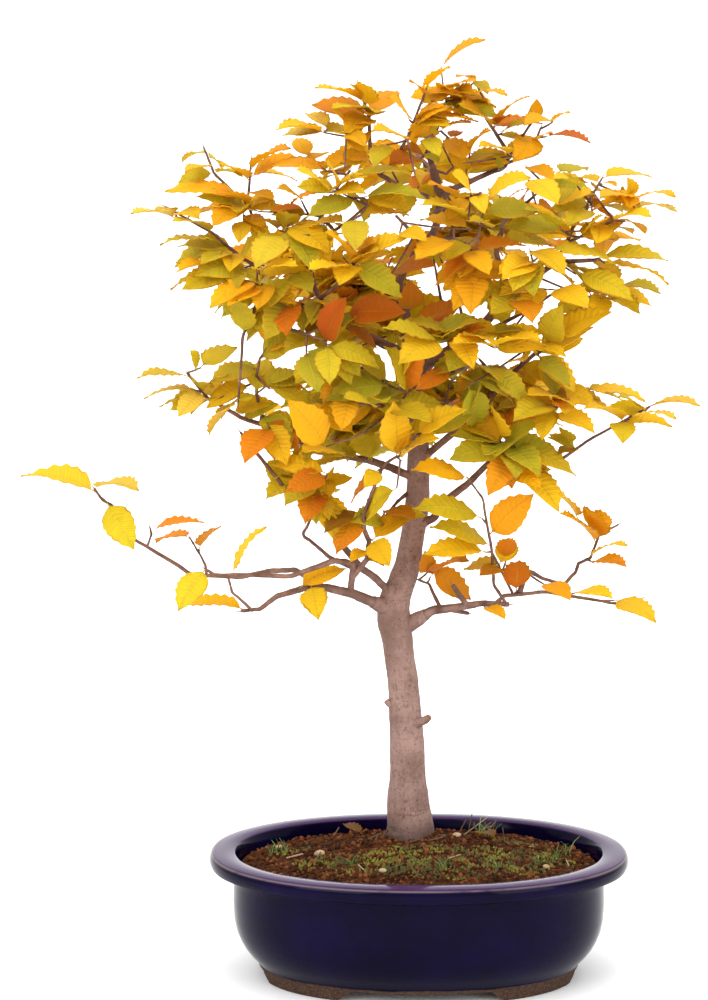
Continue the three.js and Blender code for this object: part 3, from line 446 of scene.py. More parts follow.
def stampShade(mesh, name, value):
    # the copy's own tone, kept on its points
    if isinstance(value, (int, float)):
        layer = mesh.attributes.new(name, "FLOAT", "POINT")
        layer.data.foreach_set("value", [value] * len(mesh.vertices))
    else:
        layer = mesh.attributes.new(name, "FLOAT_COLOR", "POINT")
        layer.data.foreach_set("color", list(value) * len(mesh.vertices))


def copyOf(original, matrix, **shades):
    made = original.copy()
    made.data = original.data.copy()
    made.data.transform(matrix)
    for name, value in shades.items():
        stampShade(made.data, name, value)
    bpy.context.collection.objects.link(made)
    return made


def onSoil(draw):
    # a point spread evenly over the soil's oval, clear of wall and trunk
    while True:
        x = draw.uniform(-soil["edge"], soil["edge"])
        y = draw.uniform(-halfWidth(soil["edge"]), halfWidth(soil["edge"]))
        if onBed(x, y, soil["crumbRoom"]):
            return x, y


def makeCrumbs():
    draw = random.Random(soil["seed"])
    clearSelection()
    bpy.ops.mesh.primitive_ico_sphere_add(subdivisions=1, radius=1)
    original = bpy.context.object
    for vertex in original.data.vertices:
        vertex.co *= 1 + 0.35 * noise.noise(vertex.co * 1.7)
    copies = []
    low, high = soil["crumbSize"]
    for _ in range(soil["crumbs"]):
        x, y = onSoil(draw)
        size = low + (high - low) * draw.random() ** 2.2
        angle = draw.uniform(0, 6.28)
        turn = Matrix.Rotation(angle, 4, Vector((draw.uniform(-1, 1), draw.uniform(-1, 1), 1)))
        press = Matrix.Diagonal((size, size * draw.uniform(0.7, 1), size * draw.uniform(0.6, 0.9), 1))
        spot = Matrix.Translation((x, y, soilHeight(x, y) + size * 0.25))
        copies.append(copyOf(original, spot @ turn @ press, shade=draw.random()))
    bpy.data.objects.remove(original)
    crumbs = joinAll("soilCrumbs", copies)
    bringHome(crumbs)
    finishPiece(crumbs, crumbMaterial(), "soil")


def makeMoss():
    # short tufts packed into patches, and a few loose ones between them
    draw = random.Random(soil["seed"] + 1)
    clearSelection()
    bpy.ops.mesh.primitive_cone_add(vertices=5, radius1=0.5, radius2=0.12, depth=1, location=(0, 0, 0.4))
    original = bpy.context.object
    settle(original)
    copies = []
    for middleX, middleY, long, wide in soil["mossPatches"]:
        for _ in range(int(long * wide * 0.95)):
            angle, reach = draw.uniform(0, 6.283), math.sqrt(draw.random())
            fray = 1 + 0.35 * noise.noise(Vector((math.cos(angle) * 2, math.sin(angle) * 2, middleX)))
            x = middleX + long * reach * fray * math.cos(angle)
            y = middleY + wide * reach * fray * math.sin(angle)
            if not onBed(x, y, soil["mossRoom"]):
                continue
            if noise.noise(Vector((x, y, 20)) * 0.16) < -0.16:
                continue
            high = draw.uniform(0.9, 2.4) * (1.1 - 0.5 * reach)
            lean = Matrix.Rotation(draw.uniform(-0.6, 0.6), 4, "X")
            lean = lean @ Matrix.Rotation(draw.uniform(-0.6, 0.6), 4, "Y")
            size = Matrix.Diagonal((draw.uniform(1.2, 2.2), draw.uniform(1.2, 2.2), high, 1))
            spot = Matrix.Translation((x, y, soilHeight(x, y) + 0.1))
            bright = 0.42 + 0.85 * noise.noise(Vector((x, y, 40)) * 0.07)
            shade = min(1, max(0, bright + draw.uniform(-0.25, 0.25)))
            copies.append(copyOf(original, spot @ lean @ size, shade=shade))
    bpy.data.objects.remove(original)
    moss = joinAll("moss", copies)
    bringHome(moss)
    smooth(moss, 80)
    paint = Paint("moss")
    tone = paint.attribute("shade")[2]
    spot = paint.place()
    colour = paint.mix(tone.step(0.1, 1.0), soil["moss"], soil["mossLight"])
    colour = paint.mix(paint.noise(spot, 60, 3).step(0.45, 0.7) * 0.6, colour, (0.13, 0.075, 0.02))
    relief = paint.noise(spot, 1800, 2) * 0.0006
    material = paint.finish(colour=colour, roughness=0.9, normal=paint.bump(relief, 0.8, 1.0))
    finishPiece(moss, material, "soil")


def makeGrass():
    # small sprigs: each blade is a narrow strip drawn up in three steps
    draw = random.Random(soil["seed"] + 2)
    blades = []
    for x, y, tall in soil["grass"]:
        for _ in range(5):
            clearSelection()
            foot = (x + draw.uniform(-2, 2), y + draw.uniform(-2, 2))
            base = soilHeight(*foot) - 0.6
            place = (*foot, base)
            bpy.ops.mesh.primitive_circle_add(vertices=4, radius=0.42, fill_type="NGON", location=place)
            blade = bpy.context.object
            settle(blade)
            bpy.ops.object.mode_set(mode="EDIT")
            bpy.ops.mesh.select_all(action="SELECT")
            way = Vector((draw.uniform(-1, 1), draw.uniform(-1, 1), 0)) * 0.5
            high = tall * draw.uniform(0.55, 1)
            for step in range(1, 4):
                rise = Vector((way.x * step, way.y * step, 1.6 - 0.35 * step)) * high / 3
                bpy.ops.mesh.extrude_region_move(TRANSFORM_OT_translate={"value": rise})
                bpy.ops.transform.resize(value=(0.72, 0.72, 1))
            bpy.ops.object.mode_set(mode="OBJECT")
            stampShade(blade.data, "shade", draw.random())
            blades.append(blade)
    grass = joinAll("grassSprigs", blades)
    bringHome(grass)
    smooth(grass, 60)
    paint = Paint("grass")
    tone = paint.attribute("shade")[2]
    colour = paint.mix(tone.step(0.0, 1.0), (0.05, 0.11, 0.012), (0.20, 0.24, 0.05))
    finishPiece(grass, paint.finish(colour=colour, roughness=0.6), "soil")


def makeLitter():
    # straw ends, bits of bark and twig, and five pebbles lie on the crumbs
    # straw: place, length, turn, radius and how steeply it stands; pebbles: place and size
    straw = [(36, 40, 20, 25, 0.35, 5), (44, 38, 16, 40, 0.3, 7), (40, 44, 14, -30, 0.3, 4),
             (-60, -18, 9, 70, 0.5, 2), (-74, -12, 11, -20, 0.5, 2), (20, -30, 8, 15, 0.3, 1),
             (66, 6, 10, -50, 0.35, 1), (-20, 14, 12, 60, 0.7, 3), (28, 42, 10, 10, 0.4, 13),
             (33, 46, 13, 60, 0.35, 14), (40, 43, 9, -20, 0.4, 12), (47, 41, 12, -60, 0.35, 13),
             (53, 37, 9, -100, 0.35, 11), (36, 38, 8, 120, 0.4, 14), (-50, 34, 8, 30, 0.35, 11),
             (44, 46, 11, 170, 0.35, 12), (13, 5, 9, 40, 0.6, 1), (-3, -3, 8, 10, 0.5, 1),
             (9, -2, 11, -30, 0.45, 2), (-25, 7, 8, 80, 0.5, 1), (2, -7, 7, 60, 0.5, 0),
             (15, 12, 8, -70, 0.6, 1), (-26, 10, 9, 20, 0.6, 2), (-34, -44, 9, 120, 0.35, 1),
             (88, -18, 8, 100, 0.35, 2)]
    pebbles = [(-59, -12, 3.4), (-22, -48, 2.4), (74, -30, 2.2), (24, 26, 2.8), (-84, 20, 2.4)]
    bits = []
    draw = random.Random(soil["seed"] + 3)
    for x, y, long, turn, radius, rise in straw:
        clearSelection()
        bpy.ops.mesh.primitive_cylinder_add(vertices=6, radius=radius, depth=long)
        bit = bpy.context.object
        for vertex in bit.data.vertices:
            vertex.co.x += 0.06 * vertex.co.z ** 2 / long
        lift = math.radians(80 - rise * 4)
        lay = Matrix.Rotation(math.radians(turn), 4, "Z") @ Matrix.Rotation(lift, 4, "Y")
        level = soilHeight(x, y) + radius + long / 2 * math.cos(lift) - 0.5
        bit.data.transform(Matrix.Translation((x, y, level)) @ lay)
        # what stands up, and what lies near the trunk, is dark
        dark = rise > 9 or awayFrom(soil["crownPlace"], x, y) < soil["darkRadius"]
        stampShade(bit.data, "shade", draw.uniform(0, 0.35) if dark else draw.random())
        bits.append(bit)
    for x, y, size in pebbles:
        clearSelection()
        bpy.ops.mesh.primitive_ico_sphere_add(subdivisions=2, radius=1)
        bit = bpy.context.object
        for vertex in bit.data.vertices:
            vertex.co *= 1 + 0.25 * noise.noise(vertex.co * 1.3 + Vector((x, y, 0)))
        place = Matrix.Translation((x, y, soilHeight(x, y) + size * 0.4))
        bit.data.transform(place @ Matrix.Diagonal((size, size * 0.8, size * 0.6, 1)))
        stampShade(bit.data, "shade", 0.92)
        bits.append(bit)
    litter = joinAll("litter", bits)
    bringHome(litter)
    smooth(litter, 50)
    paint = Paint("litter")
    tone = paint.attribute("shade")[2]
    spot = paint.place()
    colour = paint.mix(tone.step(0.1, 0.9), (0.09, 0.045, 0.02), (0.42, 0.28, 0.16))
    colour = paint.mix(paint.noise(spot, 500, 3).step(0.5, 0.75) * 0.6, colour, (0.05, 0.025, 0.012))
    finishPiece(litter, paint.finish(colour=colour, roughness=0.85), "soil")


def paintScreens():
    # the drain nets stay as the CAD made them
    paint = Paint("meshPlastic")
    spot = paint.place()
    tone = paint.noise(spot, 300, 3)
    colour = paint.mix(tone, (0.012, 0.014, 0.012), (0.03, 0.033, 0.03))
    relief = tone * 0.0001
    material = paint.finish(colour=colour, roughness=0.5 + tone * 0.2, normal=paint.bump(relief, 0.4, 1.0))
    for name in ("drain_screen_left", "drain_screen_right"):
        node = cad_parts[name]
        paintOver(node, material)


makeSoilBed()
makeCrumbs()
makeMoss()
makeGrass()
makeLitter()
paintScreens()
print("stage: soil")

# Branches: limbs as thickness at root and end and a route, leaves as stalk, tip, turn to the front and tint
branches = {
    "branch_low_left": {
        "limbs": [
            (6.4, 1.8, [(-16, 18, 217), (-40, 2, 229), (-55, -2, 233), (-68, -4, 233),
                (-84, -10, 229), (-94, -14, 222), (-105, -16, 221)]),
            (3.6, 1.6, [(-41, 2, 229), (-39, -6, 247), (-43, -8, 249), (-50, -10, 250),
                (-76, -18, 242), (-120, -26, 244), (-125, -26, 247)]),
            (3, 1.4, [(-56, -2, 233), (-74, 10, 242), (-89, 14, 241), (-106, 17, 237),
                (-135, 18, 238), (-169, 6, 261), (-170, 4, 265), (-182, 0, 282),
                (-187, -2, 285), (-192, -2, 292)]),
            (1.5, 1.1, [(-127, 18, 237), (-128, 18, 244), (-130, 20, 248), (-137, 20, 260)]),
            (1.5, 1.1, [(-162, 8, 256), (-159, 6, 264), (-160, 6, 268)]),
            (1.7, 1.2, [(-98, -16, 221), (-110, -20, 233), (-112, -21, 241)]),
            (2.4, 1.4, [(-39, -6, 245), (-53, 6, 250), (-69, 12, 263), (-61, 12, 280)]),
            (3, 1.5, [(-39, -3, 240), (-31, -10, 251), (-30, -14, 262), (-33, -18, 270),
                (-33, -20, 278), (-24, -25, 303), (-20, -27, 309), (-14, -29, 313)]),
        ],
        "leaves": [(-190, 0, 289, -237, 12, 298, 10, "yellow"),
            (-191, -4, 293, -163, -28, 293, 10, "buff"),
            (-184, -6, 284, -167, -16, 257, 80, "lime"),
            (-159, 2, 266, -127, -6, 272, 10, "orange"),
            (-137, 14, 261, -159, 37, 255, 15, "orange"),
            (-132, 24, 253, -120, 4, 268, 15, "orange"),
            (-126, -28, 247, -140, -41, 224, 45, "lime"),
            (-110, -22, 243, -89, -30, 272, 15, "yellow"),
            (-102, -16, 221, -141, -6, 223, 10, "gold"),
            (-64, -10, 235, -59, -34, 218, 80, "yellow"),
            (-71, -12, 234, -43, 0, 244, 25, "gold"),
            (-28, -18, 263, -18, -40, 250, 80, "yellow"),
            (-27, -18, 263, -5, 0, 275, 25, "gold"),
            (-13, -30, 313, -16, -39, 346, 65, "yellow"),
            (-12, -30, 311, 10, -50, 325, 30, "yellow"),
            (-14, -32, 295, -31, -19, 271, 40, "lime"),
            (-34, -4, 278, -56, -26, 268, 15, "brown"),
            (-34, -6, 276, -49, -23, 255, 25, "orange"),
            (-23, -22, 302, -40, 0, 283, 40, "orange")],
        "smallLeaves": [(-12, -31, 314, -4, -50, 329, 35, "gold"),
            (-33, -12, 256, -41, -27, 251, 30, "gold"),
            (-30, -6, 251, -21, -21, 248, 25, "brown"),
            (-54, 4, 297, -55, -13, 285, 45, "yellow"),
            (-25, -30, 305, -33, -48, 296, 80, "yellow")],
    },
    "branch_left_rising": {
        "limbs": [
            (4.2, 1.5, [(-14, 20, 224), (-26, 12, 237), (-34, 10, 243), (-48, 6, 260), (-57, 3, 274),
                (-59, 0, 284), (-78, -7, 291), (-95, -13, 313), (-105, -14, 326)]),
        ],
        "leaves": [(-59, -2, 292, -67, -26, 273, 30, "orange"),
            (-70, -2, 297, -88, 20, 301, 35, "olive"),
            (-54, -20, 302, -87, -12, 306, 30, "yellow"),
            (-60, -2, 298, -76, -24, 282, 35, "olive"),
            (-70, 4, 298, -90, -17, 287, 25, "olive")],
        "smallLeaves": [(-83, 6, 309, -87, -13, 296, 30, "lime")],
    },
    "branch_low_right": {
        "limbs": [
            (6, 2.6, [(-7, 20, 207), (8, 13, 217), (38, 2, 223), (53, -2, 223)]),
            (3.2, 2.4, [(28, 5, 222), (20, 1, 234)]),
            (2.4, 2, [(19, 9, 218), (30, 9, 216)]),
            (2.2, 1.2, [(13, 10, 219), (6, 16, 233), (0, 18, 235)]),
            (2.2, 1.3, [(46, 0, 224), (50, -2, 228), (73, -6, 231), (116, -12, 225), (130, -12, 228)]),
            (3.2, 1.4, [(59, -4, 230), (63, 2, 240), (67, 6, 241), (74, 10, 237), (89, 14, 232)]),
            (1.9, 1.2, [(87, 13, 233), (94, 16, 240), (96, 18, 245), (103, 20, 248), (109, 22, 262),
                (120, 22, 268)]),
            (1.8, 1.1, [(51, -1, 224), (44, -6, 235), (42, -14, 257), (36, -20, 288), (28, -20, 299)]),
            (1.5, 1.1, [(55, -3, 230), (42, -14, 256)]),
        ],
        "leaves": [(42, -16, 266, 61, -24, 294, 65, "amber"),
            (36, -20, 276, -5, -30, 282, 30, "lime"),
            (40, -16, 258, 5, -25, 271, 25, "lime"),
            (39, -18, 256, 1, -27, 255, 25, "yellow"),
            (47, -14, 247, 27, 8, 242, 30, "yellow"), (6, 6, 242, 31, 17, 223, 50, "orange"),
            (7, 16, 237, 29, -11, 250, 20, "orange"),
            (57, -6, 231, 57, -27, 252, 15, "russet"),
            (27, -22, 299, -6, -34, 305, 30, "gold"),
            (73, -8, 236, 87, -31, 229, 20, "amber"),
            (105, 20, 248, 123, -3, 258, 15, "yellow"),
            (104, 16, 246, 122, -8, 246, 20, "orange"),
            (91, -12, 231, 111, -37, 231, 15, "yellow"),
            (114, -14, 227, 136, -37, 217, 25, "yellow"),
            (108, 22, 256, 83, 0, 277, 20, "gold"), (108, 20, 258, 98, -4, 281, 30, "amber"),
            (110, 24, 261, 110, 5, 279, 30, "gold"), (96, 24, 271, 75, 3, 291, 25, "yellow")],
        "smallLeaves": [(47, -12, 247, 56, 9, 259, 55, "yellow"),
            (51, -6, 250, 51, -23, 265, 40, "orange"),
            (6, 10, 241, 3, -7, 256, 55, "orange"),
            (48, -8, 245, 34, -25, 243, 35, "russet"),
            (39, 0, 221, 50, -18, 216, 15, "gold")],
    },
    "branch_right_low": {
        "limbs": [
            (4.6, 1.6, [(-2, 20, 267), (9, 14, 273), (15, 12, 283), (29, 8, 294), (48, 0, 314),
                (81, -8, 341)]),
            (2.2, 1.2, [(47, 1, 312), (55, 0, 307), (63, -2, 306), (72, -3, 306), (84, -5, 310),
                (99, -8, 321), (134, -12, 341)]),
        ],
        "leaves": [(48, -16, 317, 16, -32, 311, 50, "green"),
            (54, -20, 312, 38, -39, 291, 60, "amber"),
            (52, -12, 304, 69, -36, 295, 40, "gold"),
            (59, -8, 304, 79, -20, 277, 25, "yellow"),
            (51, -18, 321, 83, -9, 306, 50, "green"),
            (50, -12, 316, 90, -23, 301, 20, "lime"),
            (46, -20, 322, 39, -43, 343, 40, "yellow"),
            (51, -16, 321, 56, 7, 342, 50, "gold"), (77, -18, 342, 52, -43, 334, 35, "lime"),
            (80, -16, 345, 60, -38, 349, 25, "yellow"),
            (80, -14, 342, 97, 8, 331, 35, "yellow"),
            (77, -18, 337, 99, -41, 327, 20, "yellow"),
            (133, -14, 341, 161, -29, 342, 10, "buff"),
            (122, -14, 334, 146, -39, 335, 5, "buff"),
            (131, -10, 337, 115, -29, 346, 25, "lime"),
            (118, -14, 331, 93, -36, 341, 10, "yellow")],
        "smallLeaves": [(88, -6, 318, 81, -22, 329, 25, "lime"),
            (92, -4, 315, 80, -19, 313, 20, "brown")],
    },
    "branch_right_mid": {
        "limbs": [
            (4, 1.6, [(0, 20, 306), (21, 8, 325), (24, 6, 330), (31, 2, 332), (37, -2, 339),
                (49, -8, 356), (84, -16, 387)]),
            (2.2, 1.3, [(41, -4, 347), (43, -2, 359), (35, 2, 368)]),
        ],
        "leaves": [(68, -24, 371, 90, -15, 349, 45, "yellow"),
            (60, -22, 374, 82, -44, 371, 20, "yellow"),
            (76, -24, 381, 109, -33, 396, 40, "yellow"),
            (72, -24, 379, 71, -47, 399, 60, "lime"), (41, -6, 338, 34, 18, 317, 25, "gold"),
            (27, -30, 354, 33, -11, 328, 55, "green"),
            (35, -14, 364, 26, 7, 349, 25, "gold"),
            (25, -30, 373, 23, -53, 354, 50, "green"),
            (46, 10, 347, 61, 31, 356, 25, "russet"),
            (71, 4, 347, 55, -16, 354, 25, "russet"),
            (99, 6, 350, 132, -4, 343, 15, "yellow"), (89, 2, 347, 106, 23, 338, 20, "lime"),
            (16, -14, 331, -5, -38, 326, 25, "lime"),
            (-4, -38, 326, 26, -46, 341, 35, "yellow")],
        "smallLeaves": [(44, 8, 350, 29, -10, 358, 25, "russet"),
            (72, 2, 348, 85, -17, 346, 30, "brown"),
            (60, 10, 334, 71, -7, 331, 25, "orange")],
    },
    "branch_right_main": {
        "limbs": [
            (6.6, 2, [(-1, 20, 361), (28, 8, 379), (36, 4, 386), (46, 0, 399), (75, -10, 422),
                (81, -12, 425), (102, -14, 426)]),
            (3.4, 1.5, [(56, -4, 408), (48, 0, 416), (45, 4, 431), (49, 2, 448), (66, -6, 463)]),
            (2.4, 1.4, [(35, 4, 385), (42, -4, 386), (62, -16, 397), (75, -22, 406)]),
            (2, 1.2, [(77, -11, 423), (84, -14, 435), (111, -20, 449)]),
            (2, 1.2, [(84, -14, 435), (89, -10, 446), (96, -8, 452), (97, -8, 459), (105, -8, 473)]),
            (1.9, 1.2, [(28, 8, 379), (22, -2, 405), (12, -6, 426)]),
            (1.9, 1.2, [(18, 12, 374), (8, 0, 426)]),
        ],
        "leaves": [(10, -46, 379, -23, -60, 387, 25, "lime"),
            (11, -46, 378, -14, -71, 367, 40, "yellow"),
            (12, -30, 379, 32, -53, 391, 30, "lime"),
            (42, -42, 376, 15, -61, 378, 20, "yellow"),
            (41, -36, 376, 64, -63, 380, 15, "yellow"),
            (-3, -24, 384, 25, -16, 402, 35, "russet"),
            (29, -34, 420, 27, -57, 395, 40, "gold"),
            (26, -40, 431, 37, -62, 417, 35, "gold"),
            (45, -36, 416, 50, -17, 391, 60, "lime"),
            (57, -28, 405, 52, -54, 382, 35, "amber"),
            (63, -40, 425, 48, -17, 414, 40, "gold"),
            (75, -36, 409, 93, -62, 398, 40, "yellow"),
            (88, -30, 418, 121, -39, 402, 35, "lime"),
            (106, 10, 403, 127, -16, 395, 15, "olive"),
            (118, 14, 411, 140, -8, 406, 15, "green"),
            (102, -22, 427, 141, -32, 425, 20, "lime"),
            (106, -20, 424, 144, -10, 411, 10, "yellow"),
            (72, -40, 432, 110, -30, 424, 20, "lime"),
            (61, -44, 431, 79, -68, 417, 20, "yellow"),
            (45, -34, 437, 75, -20, 434, 30, "lime"),
            (79, -38, 443, 56, -64, 453, 20, "green"),
            (36, -44, 462, 60, -65, 471, 45, "yellow"),
            (60, -40, 471, 75, -64, 456, 30, "yellow"),
            (98, -38, 463, 79, -15, 456, 40, "yellow"),
            (81, 14, 477, 101, 36, 479, 20, "green"), (62, 0, 480, 76, -22, 470, 15, "gold"),
            (106, -6, 473, 136, 8, 474, 15, "yellow"),
            (125, -14, 461, 144, -39, 461, 15, "gold"),
            (124, -10, 456, 151, 8, 454, 5, "buff"),
            (123, -20, 460, 100, -44, 460, 15, "gold"),
            (98, 0, 456, 121, 23, 454, 15, "green"),
            (110, -26, 448, 129, -50, 450, 25, "yellow"),
            (103, -26, 444, 124, -4, 441, 20, "yellow"),
            (98, -22, 454, 82, -42, 444, 25, "lime"),
            (114, 10, 438, 132, 30, 437, 25, "gold")],
        "smallLeaves": [(26, -42, 435, 13, -60, 425, 45, "lime"),
            (66, -20, 458, 80, -2, 451, 45, "orange"),
            (89, -28, 468, 73, -46, 471, 30, "yellow"),
            (104, -8, 470, 93, 10, 474, 25, "yellow"),
            (105, -2, 470, 113, -16, 468, 20, "gold"),
            (120, -14, 460, 117, -31, 473, 60, "yellow"),
            (118, -16, 448, 132, 2, 441, 20, "gold"),
            (94, -28, 439, 102, -47, 451, 45, "lime")],
    },
    "branch_top_right": {
        "limbs": [
            (3.4, 1.5, [(11, 20, 461), (18, 18, 467), (50, 10, 481), (52, 8, 488), (38, 4, 509)]),
            (1.8, 1.2, [(52, 9, 486), (67, 4, 509)]),
            (1.8, 1.2, [(50, 10, 482), (59, 14, 486), (67, 16, 493), (71, 16, 503)]),
        ],
        "leaves": [(42, 0, 502, 62, -23, 519, 25, "amber"), (76, -8, 506, 58, -28, 502, 30, "gold"),
            (74, 10, 498, 98, -11, 493, 10, "russet"),
            (52, -10, 486, 32, -33, 490, 20, "yellow"),
            (26, -12, 482, 15, 9, 497, 30, "gold"), (48, 16, 488, 29, -6, 482, 15, "olive")],
        "smallLeaves": [(43, -4, 503, 51, -18, 508, 20, "russet"),
            (67, 4, 511, 67, -9, 519, 80, "amber"), (77, 2, 506, 86, -14, 510, 30, "gold"),
            (48, 6, 500, 60, -12, 504, 45, "lime"), (45, -6, 478, 41, -20, 487, 45, "green"),
            (29, 0, 489, 40, -20, 500, 40, "gold"), (67, 14, 495, 77, -2, 499, 30, "gold")],
    },
    "branch_left_main": {
        "limbs": [
            (5.6, 1.8, [(-3, 20, 365), (-14, 10, 373), (-41, -2, 387), (-55, -6, 395),
                (-76, -10, 402), (-95, -12, 412)]),
            (2.6, 1.3, [(-54, -6, 395), (-58, -14, 404), (-49, -24, 411), (-38, -36, 424)]),
            (3, 1.4, [(-55, -6, 396), (-62, 2, 410), (-65, 4, 425), (-63, 0, 439), (-58, -6, 451),
                (-51, -12, 459), (-48, -16, 468), (-41, -20, 477)]),
            (2.2, 1.2, [(-58, -6, 451), (-50, -22, 443), (-43, -28, 447), (-31, -34, 457)]),
            (2.4, 1.2, [(-94, -12, 411), (-96, -4, 437), (-103, 0, 452)]),
            (2, 1.1, [(-95, -8, 422), (-104, -4, 427), (-122, 0, 442), (-149, 2, 457)]),
            (2, 1.1, [(-96, -4, 437), (-98, 4, 450), (-101, 8, 460), (-99, 8, 484)]),
            (1.8, 1.1, [(-101, 7, 457), (-121, 12, 477), (-127, 12, 492)]),
            (2, 1.1, [(-93, -12, 410), (-95, -16, 401), (-103, -18, 382), (-106, -15, 344)]),
            (2, 1.2, [(-75, -10, 402), (-76, -18, 393), (-75, -22, 386), (-57, -26, 380)]),
        ],
        "leaves": [(-143, 2, 450, -167, -24, 452, 5, "buff"),
            (-121, -2, 443, -143, -26, 448, 15, "lime"),
            (-116, -6, 436, -151, -15, 434, 5, "lime"),
            (-100, 4, 472, -116, -19, 480, 20, "gold"),
            (-98, 6, 478, -75, -14, 490, 25, "amber"),
            (-103, 0, 461, -147, 11, 470, 20, "gold"),
            (-94, -6, 454, -136, 5, 451, 10, "yellow"),
            (-99, -4, 458, -118, -27, 463, 10, "amber"),
            (-82, -10, 443, -98, -31, 449, 20, "brown"),
            (-79, -30, 440, -94, -58, 420, 30, "lime"),
            (-94, -34, 419, -70, -57, 422, 25, "yellow"),
            (-64, -36, 440, -70, -14, 423, 45, "lime"),
            (-110, -6, 429, -127, -29, 423, 15, "lime"),
            (-119, -8, 422, -140, -31, 419, 15, "gold"),
            (-111, -10, 419, -146, -1, 408, 15, "olive"),
            (-97, -18, 414, -121, -39, 398, 20, "gold"),
            (-92, -14, 412, -120, -6, 395, 20, "green"),
            (-103, -18, 383, -106, -41, 403, 35, "lime"),
            (-77, -8, 404, -101, -17, 379, 25, "olive"),
            (-63, 4, 396, -85, -17, 385, 30, "olive"),
            (-75, -24, 418, -62, -44, 407, 50, "green"),
            (-60, -4, 381, -79, -28, 373, 40, "olive"),
            (-55, -18, 477, -87, -10, 480, 25, "gold"),
            (-48, -34, 465, -75, -18, 458, 20, "amber"),
            (-54, -34, 464, -71, -58, 476, 40, "yellow"),
            (-34, -40, 461, 2, -49, 460, 20, "green"),
            (-31, -42, 457, -9, -20, 460, 15, "yellow"),
            (-35, -44, 451, -9, -28, 452, 20, "yellow"),
            (-43, -40, 447, -67, -20, 443, 25, "yellow"),
            (-38, -46, 449, -38, -67, 430, 50, "lime"),
            (-40, -44, 424, -55, -69, 441, 35, "gold"),
            (-38, -50, 423, -9, -60, 438, 35, "yellow"),
            (-37, -50, 422, -23, -28, 405, 45, "yellow"),
            (-41, -44, 420, -64, -70, 420, 15, "yellow"),
            (-55, -28, 378, -43, -45, 405, 50, "russet"),
            (-44, -30, 395, -9, -39, 396, 60, "russet"),
            (-46, -34, 389, -25, -16, 374, 40, "russet"),
            (-54, -42, 377, -24, -34, 369, 35, "lime"),
            (-54, -40, 377, -45, -61, 362, 45, "lime"),
            (-66, -36, 372, -59, -59, 351, 40, "green"),
            (-106, -20, 343, -124, -1, 323, 20, "yellow")],
        "smallLeaves": [(-142, 4, 454, -154, -13, 454, 10, "buff"),
            (-127, 12, 488, -141, 30, 484, 15, "lime"),
            (-123, 12, 480, -137, -7, 476, 10, "lime"),
            (-100, 8, 465, -85, -11, 460, 15, "gold"),
            (-96, 2, 456, -88, -12, 460, 35, "yellow"),
            (-103, -4, 449, -105, -21, 435, 50, "yellow"),
            (-111, -4, 415, -125, -24, 410, 15, "olive"),
            (-88, -18, 412, -94, -38, 397, 20, "gold"),
            (-57, 0, 395, -66, -20, 382, 20, "brown"),
            (-65, -6, 485, -73, 12, 497, 45, "gold"),
            (-69, -14, 460, -83, -33, 466, 40, "gold"),
            (-49, -36, 467, -55, -56, 481, 50, "yellow"),
            (-47, -38, 465, -34, -19, 458, 45, "lime"),
            (-65, -14, 449, -76, 4, 440, 40, "olive"),
            (-106, -18, 343, -98, -3, 347, 35, "lime")],
    },
    "branch_left_mid": {
        "limbs": [
            (3.6, 1.4, [(-4, 20, 340), (-7, 15, 347), (-21, 4, 355), (-44, -8, 368), (-64, -18, 373)]),
        ],
        "leaves": [(-19, -30, 354, -54, -39, 342, 45, "green"),
            (-8, -26, 350, -22, -44, 377, 40, "lime"),
            (-11, -20, 345, -32, -44, 342, 35, "green"),
            (-55, -22, 371, -72, -44, 355, 30, "lime"),
            (-55, -34, 319, -77, -48, 347, 65, "gold"),
            (-47, 0, 356, -65, 22, 342, 25, "olive"),
            (-40, -30, 351, -46, -51, 329, 30, "gold")],
        "smallLeaves": [(-32, -22, 343, -41, -42, 331, 35, "gold")],
    },
    "branch_left_low": {
        "limbs": [
            (4.4, 1.5, [(0, 20, 293), (-6, 17, 298), (-17, 16, 303), (-29, 16, 307), (-60, 13, 313),
                (-87, 9, 327), (-105, 7, 333), (-125, 4, 345), (-137, 2, 360)]),
            (2, 1.2, [(-94, 8, 330), (-93, 6, 335), (-96, 2, 347), (-96, 0, 358), (-94, -2, 368),
                (-89, -3, 376)]),
            (2.2, 1.4, [(-7, 18, 287), (-13, 8, 283), (-21, 0, 274)]),
        ],
        "leaves": [(-88, -8, 328, -102, -32, 309, 25, "orange"),
            (-86, -8, 328, -86, 15, 307, 30, "orange"),
            (-134, 0, 357, -165, -13, 357, 10, "olive"),
            (-132, -2, 350, -163, 6, 344, 10, "buff"),
            (-129, -4, 363, -108, 15, 374, 30, "lime"),
            (-116, -4, 346, -136, 19, 334, 20, "olive"),
            (-122, 4, 346, -112, -15, 360, 20, "buff"),
            (-96, 2, 362, -117, -18, 350, 40, "olive"),
            (-89, -4, 374, -81, 15, 397, 25, "gold"),
            (-88, -10, 351, -69, 13, 342, 30, "lime"),
            (-96, -6, 348, -82, 17, 360, 30, "lime"),
            (-44, -16, 312, -69, -41, 320, 15, "yellow"),
            (-28, 0, 308, -44, 21, 313, 40, "lime"),
            (-21, -6, 279, -3, -29, 276, 20, "russet"),
            (-70, 4, 316, -87, -17, 315, 20, "olive")],
        "smallLeaves": [(-131, -2, 362, -134, -18, 374, 55, "lime")],
    },
    "branch_top_left": {
        "limbs": [
            (3, 1.4, [(12, 20, 460), (-1, 8, 465), (-12, 2, 469), (-24, -2, 476), (-29, -4, 484),
                (-30, -8, 508), (-36, -8, 527)]),
            (2, 1.2, [(-24, -2, 476), (-18, -8, 480), (-12, -12, 489), (-7, -14, 498),
                (3, -14, 524)]),
        ],
        "leaves": [(3, -14, 524, 16, -36, 534, 30, "gold"),
